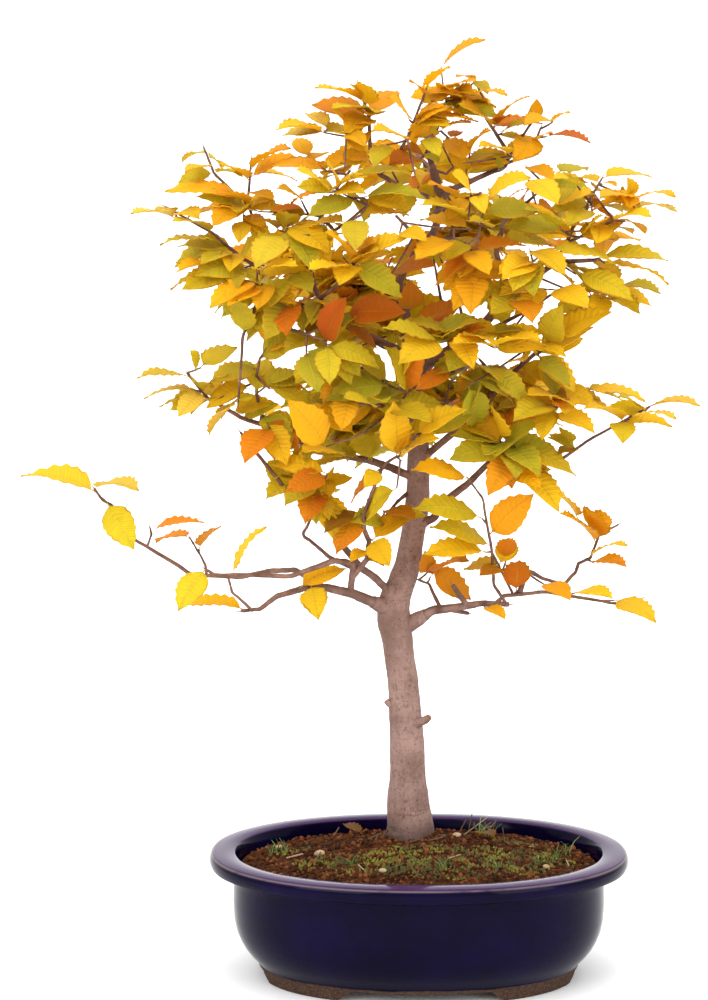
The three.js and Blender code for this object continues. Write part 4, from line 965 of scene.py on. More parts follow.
            (-1, -20, 506, 33, -11, 505, 15, "gold"),
            (-7, -18, 506, -20, -39, 517, 50, "gold"),
            (-29, -14, 509, -16, 8, 525, 30, "amber"),
            (-34, -10, 516, -61, -30, 523, 10, "gold"),
            (-28, -18, 509, -52, -40, 511, 15, "lime"),
            (-56, -14, 499, -83, -36, 499, 15, "gold"),
            (-8, -30, 493, -29, -54, 497, 30, "gold"),
            (-4, -34, 474, -41, -43, 472, 15, "lime"),
            (-12, -6, 469, -4, 17, 451, 40, "olive")],
        "smallLeaves": [(2, -14, 520, -8, -30, 527, 40, "amber"), (1, -24, 507, -3, -4, 492, 40, "gold"),
            (-34, -8, 521, -41, -21, 526, 20, "buff"),
            (-44, -20, 502, -51, -36, 511, 55, "gold"),
            (-54, -16, 501, -67, 3, 511, 15, "buff"),
            (-43, -30, 498, -32, -47, 489, 45, "gold"),
            (-44, -34, 478, -33, -15, 489, 60, "gold"),
            (-20, -34, 491, -28, -53, 477, 25, "lime")],
    },
    "branch_top": {
        "limbs": [
            (3.4, 1.2, [(10, 18, 472), (6, 14, 486), (7, 12, 496), (11, 10, 506), (23, 6, 522)]),
            (1.6, 1.1, [(8, 17, 479), (16, 22, 477), (20, 24, 481), (14, 24, 493)]),
        ],
        "leaves": [(12, 2, 537, 37, -12, 552, 25, "amber"), (12, 0, 521, 32, -25, 527, 20, "gold"),
            (25, -4, 519, 49, -26, 519, 15, "gold"), (12, 4, 501, 29, -17, 504, 15, "gold"),
            (-1, -8, 484, -20, -31, 476, 45, "russet")],
        "smallLeaves": [(32, 8, 530, 20, -8, 531, 10, "gold"), (33, 8, 530, 39, -6, 521, 25, "olive"),
            (39, 10, 517, 23, -9, 517, 15, "gold"), (21, -4, 514, 8, 14, 515, 20, "green"),
            (17, 8, 497, 25, 22, 501, 25, "russet"), (7, -8, 498, 14, -24, 506, 40, "lime"),
            (2, -14, 496, 10, -32, 484, 40, "lime"),
            (2, 2, 486, -11, -15, 489, 55, "russet")],
    },
    "branch_back_low_left": {
        "limbs": [
            (3.8, 1.4, [(-1, 20, 316), (-6, 30, 321), (-16, 52, 324), (-33, 78, 328), (-50, 98, 334)]),
        ],
        "sprays": (3, 0.35),
        "leaves": [],
    },
    "branch_back_low_right": {
        "limbs": [
            (3.8, 1.4, [(-2, 20, 329), (17, 56, 339), (34, 84, 344), (51, 104, 349)]),
        ],
        "sprays": (3, 0.35),
        "leaves": [],
    },
    "branch_back_mid": {
        "limbs": [
            (3.8, 1.4, [(-5, 20, 375), (-15, 60, 389), (-25, 92, 398), (-31, 120, 408)]),
        ],
        "sprays": (4, 0.25),
        "leaves": [],
    },
    "branch_back_left": {
        "limbs": [
            (3.4, 1.3, [(-9, 20, 396), (-13, 30, 401), (-28, 52, 410), (-50, 78, 422),
                (-73, 96, 433)]),
        ],
        "sprays": (4, 0.25),
        "leaves": [],
    },
    "branch_back_right": {
        "limbs": [
            (3.4, 1.3, [(-2, 20, 429), (3, 30, 434), (20, 54, 440), (66, 104, 454)]),
        ],
        "sprays": (4, 0.25),
        "leaves": [],
    },
    "branch_back_top": {
        "limbs": [
            (3, 1.2, [(11, 18, 468), (7, 50, 482), (-2, 98, 495)]),
        ],
        "sprays": (4, 0.2),
        "leaves": [],
    },
    "branch_front_left": {
        "limbs": [
            (3.4, 1.4, [(-3, 20, 336), (-6, 10, 335), (-25, -34, 343), (-36, -56, 345)]),
        ],
        "leaves": [(-27, -50, 342, -45, -72, 349, 35, "lime"),
            (-17, -30, 340, 5, -56, 334, 30, "lime")],
    },
    "branch_front_right": {
        "limbs": [
            (3.4, 1.4, [(-1, 20, 350), (9, -12, 357), (27, -54, 366)]),
        ],
        "leaves": [(21, -40, 362, 3, -18, 358, 35, "lime")],
    },
    "branch_front_upper": {
        "limbs": [
            (3.2, 1.3, [(3, 20, 435), (-15, -62, 450)]),
        ],
        "leaves": [(27, -50, 443, -1, -35, 448, 20, "gold"),
            (18, -46, 436, -5, -72, 425, 25, "gold"),
            (-17, -20, 418, 8, -43, 422, 40, "russet"),
            (-6, -16, 397, -7, -37, 415, 60, "russet")],
        "smallLeaves": [(-13, -50, 441, 2, -69, 436, 45, "yellow")],
    },
    "branch_front_upper_right": {
        "limbs": [
            (3.2, 1.3, [(11, 20, 454), (32, -58, 463)]),
        ],
        "leaves": [(26, -44, 449, -2, -66, 456, 20, "lime"),
            (19, -40, 461, 2, -60, 467, 20, "amber"),
            (27, -50, 463, 15, -70, 474, 55, "yellow")],
        "smallLeaves": [(28, -52, 462, 34, -69, 451, 80, "yellow"),
            (40, -44, 443, 25, -62, 447, 30, "lime")],
    },
}

# Growth: limbs, then a twig to every leaf, then the leaves, in the order in which the solids grew
growth = {
    "joinReach": 2.5, "rootLength": 14, "turnCost": 1.4, "spraySeed": 20251,
    "twigRadius": 0.72, "twigTip": 0.5, "limbBump": 0.25,
    "bends": [(0, 0, 0.1), (0, 0, -0.1), (0.12, 0, 0.02), (-0.12, 0, 0.02), (0, 0.12, 0.02), (0, -0.12, 0.02),
              (0, 0, 0.22), (0, 0, -0.22), (0.24, 0, 0), (-0.24, 0, 0), (0, 0.24, 0), (0, -0.24, 0)],
    "turns": [(0, 0), (0.12, 0), (-0.12, 0), (0, 0.14), (0, -0.14), (0.14, 0.14), (-0.14, 0.14),
              (0.14, -0.14), (-0.14, -0.14), (0.3, 0), (-0.3, 0), (0, 0.3), (0, -0.3), (0.3, 0.3),
              (-0.3, 0.3), (0.3, -0.3)],
}


def nodePoints(name):
    # the CAD node's own points, in mm about the pot's middle, to look a twig or a leaf up in
    points = {tuple(round(value, 3) for value in (vertex.co - potMiddle) * 1000)
              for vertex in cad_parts[name].data.vertices}
    tree = KDTree(len(points))
    for index, point in enumerate(sorted(points)):
        tree.insert(point, index)
    tree.balance()
    return tree


def nearestOn(start, end, point):
    along = end - start
    share = max(0, min(1, (point - start).dot(along) / along.length_squared))
    spot = start + along * share
    return spot, (spot - point).length


def twigStart(wood, stalk, tip):
    way = (tip - stalk).normalized()
    best = None
    for start, end in wood:
        for share in (0, 0.25, 0.5, 0.75, 1):
            spot = start.lerp(end, share)
            reach = stalk - spot
            effort = reach.length * (growth["turnCost"] - reach.normalized().dot(way))
            if best is None or effort < best[0]:
                best = (effort, spot)
    return best[1]


def growTwig(wood, points, root, end):
    # the solid's twig tells by its middle ring which way it bends
    route = [root, end]
    middle = root.lerp(end, 0.5)
    most = 1
    for bend in growth["bends"]:
        spot = root.lerp(end, 0.5) + Vector(bend) * (end - root).length
        ring = [near for near in points.find_range(spot, 1.0) if near[2] > 0.45]
        if len(ring) > most:
            most = len(ring)
            middle = spot
            route = [root, spot, end]
    wood.extend(zip(route, route[1:]))
    return route, middle


def faceTowards(outward, degrees):
    angle = math.radians(degrees)
    return Vector((0, 0, math.cos(angle))) + outward * math.sin(angle)


def turnedTip(points, start, tip, face):
    # the solid's leaf tip tells which way the leaf was turned clear of its neighbours
    along = tip - start
    long = along.length
    along.normalize()
    up = (face - along * face.dot(along)).normalized()
    side = along.cross(up)
    best = (0.6, start + along * long)
    for sideways, upwards in growth["turns"]:
        spot = start + (along + side * sideways + up * upwards).normalized() * long
        near = points.find(spot)
        if near[2] < best[0]:
            best = (near[2], spot)
            if near[2] < 0.08:
                break
    return best[1]


def turnedLevel(degrees, way):
    return Matrix.Rotation(math.radians(degrees), 3, "Z") @ way


def outwardAt(point):
    # level, away from the trunk
    return Vector((point.x, point.y - soil["trunkPlace"][1], 0)).normalized()


def reachOf(route):
    # the way along a route to each of its points
    reach = [0]
    for start, end in zip(route, route[1:]):
        reach.append(reach[-1] + (end - start).length)
    return reach


def pointAlong(route, share):
    reach = reachOf(route)
    want = share * reach[-1]
    step = next(index for index, length in enumerate(reach) if index and length >= want)
    part = (want - reach[step - 1]) / (reach[step] - reach[step - 1])
    return route[step - 1].lerp(route[step], part), route[step] - route[step - 1]


def lehmerDraws(seed):
    # the seeded draws by which the sprays' solids grew
    factor, addend, modulus = 1664525, 1013904223, 2 ** 32
    state = seed
    while True:
        state = (state * factor + addend) % modulus
        yield state / modulus


wood = {}
limbs = {}
twigs = {name: [] for name in branches}
leaves = {name: [] for name in branches}
nodeTrees = {name: nodePoints(name) for name in branches}
front = Vector((0, -1, 0))

for name, branch in branches.items():
    limbs[name] = [(thickRoot, thickEnd, [Vector(point) for point in route])
                   for thickRoot, thickEnd, route in branch["limbs"]]
    wood[name] = [(start, end) for _, _, route in limbs[name] for start, end in zip(route, route[1:])]
    start, end = wood[name][0]
    wood[name][0] = (start.lerp(end, min(0.9, growth["rootLength"] / (end - start).length)), end)


def keepLeaf(name, start, tip, face, tint, seen):
    leaves[name].append({"start": start, "tip": tip, "face": face, "tint": tint, "seen": seen})


def addLeaf(name, numbers, tint, seen):
    stalk, tip = Vector(numbers[:3]), Vector(numbers[3:6])
    places = [nearestOn(start, end, stalk) for start, end in wood[name]]
    spot, distance = min(places, key=lambda near: near[1])
    if distance < growth["joinReach"]:
        start = spot
    else:
        route, _ = growTwig(wood[name], nodeTrees[name], twigStart(wood[name], stalk, tip), stalk)
        twigs[name].append(route)
        start = stalk
    keepLeaf(name, start, tip, faceTowards(front, numbers[6]), tint, seen)


for name, branch in branches.items():
    for *numbers, tint in branch["leaves"]:
        addLeaf(name, numbers, tint, True)

draws = lehmerDraws(growth["spraySeed"])
for name, branch in branches.items():
    if "sprays" not in branch:
        continue
    route = limbs[name][0][2]
    count, begin = branch["sprays"]
    for k in range(count):
        last = k == count - 1
        spot, heading = pointAlong(route, 0.999 if last else begin + (1 - begin) * (k + 0.5) / count)
        hand = 1 if k % 2 == 0 else -1
        turn = hand * (10 * next(draws) if last else 35 + 35 * next(draws))
        rise, long = -0.15 + 0.45 * next(draws), 20 + 14 * next(draws)
        size, tilt, droop = next(draws), next(draws), next(draws)
        way = turnedLevel(turn, Vector((heading.x, heading.y, 0)).normalized())
        end = spot + Vector((way.x, way.y, rise)).normalized() * long
        twig, middle = growTwig(wood[name], nodeTrees[name], spot, end)
        twigs[name].append(twig)
        outward = outwardAt(end)
        for i, (start, fan) in enumerate([(end, 8), (end, -hand * 58), (middle, hand * 62)]):
            out = turnedLevel(fan, way)
            out.z = -0.1 - 0.4 * ((droop + i * 0.37) % 1)
            tip = start + out.normalized() * (32 + 8 * size) * (1 - 0.07 * i)
            face = faceTowards(outward, 10 + 45 * ((tilt + i * 0.41) % 1))
            tint = ("gold", "yellow", "lime", "yellow", "amber", "olive")[(k * 3 + i) % 6]
            keepLeaf(name, start, tip, face, tint, True)

found = 0
for name in branches:
    for leaf in leaves[name]:
        leaf["tip"] = turnedTip(nodeTrees[name], leaf["start"], leaf["tip"], leaf["face"])
        found += nodeTrees[name].find(leaf["tip"])[2] < 0.1
print("stage: growth,", found, "of", sum(map(len, leaves.values())), "leaves looked up")

for name, branch in branches.items():
    for *numbers, tint in branch.get("smallLeaves", []):
        addLeaf(name, numbers, tint, False)

fill = {
    "seed": 31, "bare": ("branch_low_left", "branch_low_right"), "middle": (10, 20, 330),
    # limits of the inner crown in view, in depth and in depth at the back, and the lowest tip
    "inner": 84, "deep": 66, "back": 125, "lowest": 205,
    # chance of each leaf added beside one; far out, long and low leaves get the first two at most
    "chances": (1, 1, 0.8, 0.45, 0.2), "outer": 122, "longest": 38, "sparseBelow": 290,
    "shortest": 20, "length": (0.80, 1.05), "keepsTint": 0.55,
    "tints": ("yellow", "lime", "lime", "yellow", "gold", "green", "orange", "yellow"),
    "greenTints": ("yellow", "lime", "green", "orange", "lime", "yellow", "lime", "green"),
    "greenBelow": 385,
}


def standsInside(tip, leaf, deep):
    # a filling leaf stays within the leaf it stands beside, or in the inner crown
    middle = Vector(fill["middle"])
    reach, own = tip - middle, leaf["tip"] - middle
    inView = math.hypot(reach.x, reach.z) < max(fill["inner"], 0.97 * math.hypot(own.x, own.z))
    return inView and abs(reach.y) < max(deep, abs(own.y)) and tip.z > fill["lowest"]


def tintAt(tip, draw):
    return draw.choice(fill["greenTints" if tip.z < fill["greenBelow"] else "tints"])


def fillLeaves(name, draw):
    # beside each leaf of the crown grow up to five more from the same shoot, turned to the side
    atBack = name.startswith("branch_back")
    for leaf in list(leaves[name]):
        way = leaf["tip"] - leaf["start"]
        outer = abs(leaf["tip"].x - fill["middle"][0]) > fill["outer"]
        few = outer or way.length > fill["longest"] or leaf["tip"].z < fill["sparseBelow"]
        for chance in fill["chances"][:2] if few else fill["chances"]:
            if draw.random() > chance or way.length < fill["shortest"]:
                continue
            start, end = min(wood[name], key=lambda part: nearestOn(*part, leaf["start"])[1])
            spot, _ = nearestOn(start, end, leaf["start"])
            spot = spot.lerp(start, min(1, draw.uniform(1, 22) / max(1, (spot - start).length)))
            side = turnedLevel(draw.choice((-1, 1)) * draw.uniform(28, 80), way.normalized())
            side.y *= 1 if atBack else 0.6
            side.z = side.z * 0.6 + (draw.uniform(-0.5, 0.45) if atBack else draw.uniform(-0.34, 0.16))
            tip = spot + side.normalized() * min(way.length, fill["longest"]) * draw.uniform(*fill["length"])
            if not standsInside(tip, leaf, fill["back"] if atBack else fill["deep"]):
                continue
            outward = outwardAt(tip) if atBack else front
            face = faceTowards(outward, draw.uniform(12, 55)) + Vector((draw.uniform(-0.35, 0.35), 0, 0))
            bright = leaf["tint"] not in ("russet", "brown", "orange", "amber")
            keeps = draw.random() < fill["keepsTint"] and bright
            tint = leaf["tint"] if keeps else tintAt(tip, draw)
            keepLeaf(name, spot, tip, face, tint, False)


shoots = {"seed": 47, "count": 7, "long": (20, 36), "leafLong": (27, 37), "highest": 468, "lowest": 222,
          "furthest": 168, "inView": 150}


def backShoots(name, draw):
    # short leafy shoots rise and hang from the limbs at the back
    route = limbs[name][0][2]
    for k in range(shoots["count"]):
        spot, heading = pointAlong(route, 0.2 + 0.76 * (k + 0.5) / shoots["count"])
        level = Vector((heading.x, heading.y, 0)).normalized()
        way = turnedLevel(draw.uniform(-75, 75), level)
        rise = draw.uniform(0.5, 1.3) * (1 if k % 2 else -0.7)
        end = spot + Vector((way.x, way.y, rise)).normalized() * draw.uniform(*shoots["long"])
        grown = []
        for i in range(4):
            start = spot.lerp(end, 0.46 + 0.18 * i)
            fan = draw.uniform(-15, 15) if i == 3 else (-1) ** i * draw.uniform(25, 65)
            out = turnedLevel(fan, way)
            out.z = draw.uniform(-0.45, 0.15)
            tip = start + out.normalized() * draw.uniform(*shoots["leafLong"])
            inView = math.hypot(tip.x - fill["middle"][0], tip.z - fill["middle"][2]) < shoots["inView"]
            if inView and tip.y < shoots["furthest"] and shoots["lowest"] < tip.z < shoots["highest"]:
                face = faceTowards(outwardAt(tip), draw.uniform(10, 50))
                tint = tintAt(tip, draw)
                grown.append({"start": start, "tip": tip, "face": face, "tint": tint, "seen": False})
        if len(grown) > 1:
            twigs[name].append([spot, end])
            leaves[name].extend(grown)


shootDraw = random.Random(shoots["seed"])
for name in branches:
    if name.startswith("branch_back"):
        backShoots(name, shootDraw)

fillDraw = random.Random(fill["seed"])
for name in branches:
    if name not in fill["bare"]:
        fillLeaves(name, fillDraw)
print("stage: fill,", sum(map(len, leaves.values())), "leaves in all")


# Wood
bark = {
    "pale": (0.325, 0.202, 0.170), "brown": (0.150, 0.080, 0.058), "dark": (0.066, 0.036, 0.028),
    "twig": (0.098, 0.042, 0.025), "twigLight": (0.22, 0.110, 0.070),
    "flareTop": 104, "flareHigh": 34,
    # x, y, z and radius
    "trunk": [(-7, 20, 57, 17), (-6, 20, 68, 15.8), (-5.5, 20, 76, 14.6), (-5, 20, 84, 13.9),
              (-6, 20, 97, 12.9), (-6, 20, 122, 10.9), (-7.2, 20, 147, 9.9), (-9.8, 20, 178, 9.2),
              (-12.2, 20, 197, 9.2), (-14.4, 20, 211, 10.2), (-14.4, 20, 221, 9.7), (-10.2, 20, 233, 8.4),
              (-6, 20, 247, 7.3), (-4, 20, 259, 7.2), (-2, 20, 271, 7.3), (0, 20, 298, 7.0),
              (-1, 20, 325, 6.0), (-3, 20, 346, 4.8), (-2, 20, 361, 4.5), (-5, 20, 379, 3.0),
              (-6, 20, 387, 2.6), (-9, 20, 400, 2.4), (-12, 20, 412, 2.3), (-6, 20, 424, 2.25),
              (0, 20, 432, 2.2), (7, 20, 440, 2.1), (12, 20, 459, 1.95), (11, 19, 471, 1.6)],
    "stubs": [((-2, 15, 148, 3.4), (1.6, 11.6, 149.8, 2.6), (5.2, 9.4, 152.2, 2.3), (6.6, 8.8, 153.6, 1.8)),
              ((-14, 18, 158, 2.8), (-17.5, 16, 160, 2.0), (-19.2, 15.2, 161.8, 1.7))],
}


def woodTube(name, routes, sides, steps):
    # each route is a smooth curve through points of x, y, z and radius, turned into a closed tube
    clearSelection()
    curve = bpy.data.curves.new(name, "CURVE")
    curve.dimensions = "3D"
    curve.bevel_depth = 1
    curve.bevel_resolution = sides
    curve.resolution_u = steps
    curve.use_fill_caps = True
    for route in routes:
        spline = curve.splines.new("BEZIER")
        spline.bezier_points.add(len(route) - 1)
        for point, (x, y, z, radius) in zip(spline.bezier_points, route):
            point.co = (x, y, z)
            point.radius = radius
            point.handle_left_type = point.handle_right_type = "AUTO"
        spline.tilt_interpolation = spline.radius_interpolation = "EASE"
    tube = bpy.data.objects.new(name, curve)
    bpy.context.collection.objects.link(tube)
    pick(tube)
    bpy.ops.object.convert(target="MESH")
    return bpy.context.object


def tapered(route, root, end):
    reach = reachOf(route)
    return [(*spot, (root + (end - root) * length / reach[-1]) / 2) for spot, length in zip(route, reach)]


def closeRoute(route):
    # more points on the straight stretches keep the smooth curve near the solid's limb
    points = [Vector(point) for point in route]
    full = [points[0]]
    for start, end in zip(points, points[1:]):
        full += [start.lerp(end, 0.25), start.lerp(end, 0.75), end]
    return [tuple(point) for point in full]


def roughen(obj, amount, scale):
    for vertex, normal in zip(obj.data.vertices, [entry.vector.copy() for entry in obj.data.vertex_normals]):
        vertex.co += normal * amount * noise.noise(vertex.co * scale)


def makeTrunk():
    footX, footY = soil["trunkPlace"]
    bole = woodTube("trunk", [bark["trunk"]], 14, 8)
    for vertex in bole.data.vertices:
        spot = vertex.co
        if spot.z < bark["flareTop"]:
            # root flare: low ridges that spread and sink into the soil
            angle = math.atan2(spot.y - footY, spot.x - footX)
            low = (bark["flareTop"] - spot.z) / bark["flareHigh"]
            ridge = 0.07 * math.sin(angle * 3 + 0.6) + 0.05 * math.sin(angle * 5 + 2)
            spot.x = footX + (spot.x - footX) * (1 + ridge * low)
            spot.y = footY + (spot.y - footY) * (1 + ridge * low)
    roughen(bole, 0.7, 0.06)
    roughen(bole, 0.3, 0.22)
    stubs = woodTube("stubs", bark["stubs"], 6, 4)
    roughen(stubs, 0.4, 0.5)
    collars = woodTube("collars", [collar for name in branches for collar in collarOf(name)], 6, 4)
    whole = joinAll("trunkBark", [bole, stubs, collars])
    bringHome(whole)
    smooth(whole, 60)
    finishPiece(whole, barkMaterial(), "trunk")


def collarOf(name):
    # the swelling where a limb leaves the trunk
    thickRoot, _, route = limbs[name][0]
    inner, outer = route[0], route[1]
    if inner.z < 200 or (outer - inner).length < 4:
        return []
    way = (outer - inner).normalized()
    reach = min(15 if name in fill["bare"] else 9, (outer - inner).length * 0.9)
    radius = thickRoot * 0.6
    return [[(*(inner - way), radius * 1.45), (*(inner + way * reach * 0.55), radius * 1.28),
             (*(inner + way * reach), radius * 0.99)]]


def barkMaterial():
    paint = Paint("beechBark")
    spot = paint.place()
    x, _, z = paint.parts(spot)
    height = z * 1000
    cloud = paint.noise(spot, 42, 5)
    grain = paint.noise(spot, 420, 3)
    bands = paint.noise(paint.stretched(spot, 0.3, 0.3, 1.8), 150, 4)
    streaks = paint.noise(paint.stretched(spot, 1.6, 1.6, 0.25), 160, 4)
    fleck = paint.noise(paint.stretched(spot, 0.9, 0.9, 0.8), 820, 1)
    colour = paint.mix(cloud.step(0.20, 0.66), bark["brown"], bark["pale"])
    colour = paint.mix(streaks.step(0.48, 0.70) * 0.45, colour, bark["pale"])
    colour = paint.mix((1 - streaks.step(0.32, 0.50)) * 0.30, colour, bark["brown"])
    # the oldest bark, low down, has short level cracks
    cracks = (bands + fleck * 0.3).step(0.70, 0.76) * (1 - height.step(92, 112))
    colour = paint.mix(cracks * 0.5, colour, bark["dark"])
    colour = paint.mix(grain.step(0.48, 0.70) * 0.40, colour, bark["brown"])
    colour = paint.mix((1 - grain.step(0.34, 0.46)) * 0.35, colour, bark["pale"])
    colour = paint.mix((1 - bands.step(0.30, 0.42)) * 0.35, colour, bark["brown"])
    colour = paint.mix(fleck.step(0.61, 0.68) * 0.55, colour, bark["dark"])
    # brown, wrinkled bark round the low fork
    fork = 1 - abs(height - 208 + cloud * 10).step(6, 26)
    colour = paint.mix(fork * streaks.step(0.35, 0.6) * 0.6, colour, bark["brown"])
    # the cut stub stays brown
    cut = (1 - abs(height - 151).step(3, 7)) * (x * 1000).step(2.6, 4.4)
    colour = paint.mix(cut * 0.85, colour, bark["twigLight"])
    # warm and dark near the soil, browner towards the thin top
    colour = paint.mix((1 - (height + cloud * 14).step(86, 103)) * 0.85, colour, bark["dark"])
    colour = paint.mix(height.step(250, 420) * 0.75, colour, bark["twig"])
    relief = bands * 0.0005 + fleck * 0.0002 + cloud * 0.0006 + streaks * 0.0004
    return paint.finish(colour=colour, roughness=0.72 + cloud * 0.12, specular=0.3,
                        normal=paint.bump(relief, 0.55, 1.0))


def twigMaterial():
    # grey near the trunk, red-brown on the thin young wood
    paint = Paint("twigBark")
    spot = paint.place()
    age = paint.attribute("age")[2]
    cloud = paint.noise(spot, 120, 4)
    fleck = paint.noise(spot, 900, 2)
    young = paint.mix(cloud.step(0.35, 0.7), bark["twig"], bark["twigLight"])
    old = paint.mix(cloud.step(0.38, 0.75) * 0.75, bark["brown"], bark["pale"])
    high = (paint.parts(spot)[2] * 1000).step(205, 300)
    colour = paint.mix((age + cloud * 0.25 - 0.1).step(0.15, 0.75) * (1 - high * 0.85), young, old)
    colour = paint.mix(fleck.step(0.6, 0.75) * 0.5, colour, bark["dark"])
    return paint.finish(colour=colour, roughness=0.7, specular=0.3,
                        normal=paint.bump(fleck * 0.0003, 0.5, 1.0))


def budAt(spot, way, size):
    # a slim pointed bud: a cone of five sides, pulled in at its foot
    clearSelection()
    bpy.ops.mesh.primitive_cone_add(vertices=5, radius1=0.7 * size, radius2=0.1, depth=4 * size)
    bud = bpy.context.object
    foot = [vertex for vertex in bud.data.vertices if vertex.co.z < 0]
    for vertex in foot:
        vertex.co.x *= 0.6
        vertex.co.y *= 0.6
    lay = way.to_track_quat("Z", "Y").to_matrix().to_4x4()
    bud.data.transform(Matrix.Translation(spot + way * 1.7 * size) @ lay)
    return bud


def stampAge(obj, routes):
    # thickness decides how old the wood looks
    tree = KDTree(sum(map(len, routes)))
    radii = []
    for route in routes:
        for x, y, z, radius in route:
            tree.insert((x, y, z), len(radii))
            radii.append(radius)
    tree.balance()
    layer = obj.data.attributes.new("age", "FLOAT", "POINT")
    ages = [min(1, max(0, (radii[tree.find(vertex.co)[1]] - 0.7) / 1.9)) for vertex in obj.data.vertices]
    layer.data.foreach_set("value", ages)


def makeWood(name, material):
    routes = [closeRoute(tapered(route, root * 1.18, end * 1.12)) for root, end, route in limbs[name]]
    thin = []
    for route in twigs[name]:
        if len(route) == 3:
            middle = route[1]
        else:
            # a straight twig sags a little
            middle = route[0].lerp(route[1], 0.5) + Vector((0, 0, -0.02)) * (route[1] - route[0]).length
        thin.append([(*route[0], growth["twigRadius"]), (*middle, growth["twigRadius"] * 0.9),
                     (*route[-1], growth["twigTip"])])
    pieces = [woodTube(name + "Limbs", routes, 3, 4)]
    roughen(pieces[0], growth["limbBump"], 0.35)
    if thin:
        pieces.append(woodTube(name + "Twigs", thin, 1, 3))
    draw = random.Random(name)
    for _, _, route in limbs[name]:
        pieces.append(budAt(route[-1], (route[-1] - route[-2]).normalized(), draw.uniform(0.8, 1.2)))
    for route in twigs[name]:
        if draw.random() < 0.55:
            askew = Vector([draw.uniform(-0.5, 0.5) for _ in range(3)])
            way = ((route[-1] - route[0]).normalized() + askew).normalized()
            pieces.append(budAt(route[-1], way, draw.uniform(0.6, 1)))
    whole = joinAll("wood_" + name[7:], pieces)
    stampAge(whole, routes + thin)
    bringHome(whole)
    smooth(whole, 60)
    finishPiece(whole, material, name)


makeTrunk()
twigBark = twigMaterial()
for name in branches:
    makeWood(name, twigBark)
print("stage: wood")


# Leaves
leafLook = {
    "rows": 14, "thickness": 0.010, "width": 0.55, "stalk": 0.16,
    # widths of seen and filling leaves against the blade's own; spread of shade, warmth and green
    "seenWidth": 1.02, "fillWidth": 0.95, "shade": (0.84, 1.12), "warmth": 0.05, "greenSpread": 0.1,
    "rowAt": [0, 0.09, 0.13, 0.19, 0.255, 0.325, 0.395, 0.465, 0.535, 0.605, 0.675, 0.745, 0.82, 0.90, 1],
    "rowWidth": [0.035, 0.04, 0.36, 0.62, 0.88, 0.90, 1.02, 0.94, 1.0, 0.84, 0.84, 0.62, 0.54, 0.24, 0.0],
    "shapes": [{"fold": 0.10, "wave": 0.020, "arch": 0.40, "curl": 0.00},
               {"fold": 0.22, "wave": 0.030, "arch": 0.36, "curl": -0.05},
               {"fold": 0.04, "wave": 0.036, "arch": 0.42, "curl": 0.06},
               {"fold": 0.30, "wave": 0.024, "arch": 0.34, "curl": -0.02}],
    # sRGB colour of the blade, and how green it still is, most of all between the veins
    "tints": {"yellow": ((252, 205, 32), 0.12), "gold": ((251, 184, 22), 0.02),
              "lime": ((232, 208, 40), 0.46), "green": ((190, 186, 42), 0.58),
              "olive": ((208, 180, 38), 0.36), "orange": ((226, 118, 20), 0.0),
              "amber": ((242, 154, 22), 0.01), "russet": ((178, 62, 6), 0.0),
              "brown": ((124, 60, 18), 0.0), "buff": ((228, 196, 80), 0.0)},
    "green": (0.29, 0.345, 0.022), "veinShade": (0.85, 0.66, 0.10), "valley": (0.42, 0.24, 0.004),
    "dry": (0.26, 0.085, 0.008), "glow": (0.92, 0.72, 0.07), "glowShare": 0.46, "edge": (0.86, 0.47, 0.03),
}


def linear(level):
    level /= 255
    return level / 12.92 if level <= 0.04045 else ((level + 0.055) / 1.055) ** 2.4


def modelLeaf(index, shape, columns):
    # one blade a unit long with its stalk: a grid shaped into an oval with toothed, waved edges
    clearSelection()
    rows = leafLook["rows"]
    bpy.ops.mesh.primitive_grid_add(x_subdivisions=columns, y_subdivisions=rows, size=1)
    leaf = bpy.context.object
    leaf.name = "leaf" + str(index)
    for vertex in leaf.data.vertices:
        across = vertex.co.x * 2
        row = round((vertex.co.y + 0.5) * rows)
        along = leafLook["rowAt"][row]
        half = leafLook["rowWidth"][row] * leafLook["width"] / 2
        tooth = 1 if abs(across) > 0.9 else 0
        wave = shape["wave"] * (-1) ** row * tooth * 0.42
        wave += shape["wave"] * 0.6 * math.sin(along * 7 + index + across) * abs(across)
        ramp = min(1, max(0, (along - 0.07) / 0.15))
        vertex.co.x = across * half
        vertex.co.y = along + (0.006 * tooth * (1 + (-1) ** row) if 0.12 < along < 0.95 else 0)
        vertex.co.z = (shape["fold"] * abs(across) * half + wave * ramp + shape["arch"] * along * (1 - along)
                       + shape["curl"] * along * along * (1 - along) * 2)
    bpy.ops.object.mode_set(mode="EDIT")
    bpy.ops.mesh.select_all(action="SELECT")
    bpy.ops.mesh.remove_doubles(threshold=0.0005)
    bpy.ops.object.mode_set(mode="OBJECT")
    applyModifier(leaf, "SOLIDIFY", thickness=leafLook["thickness"], offset=0)
    smooth(leaf, 70)
    return leaf


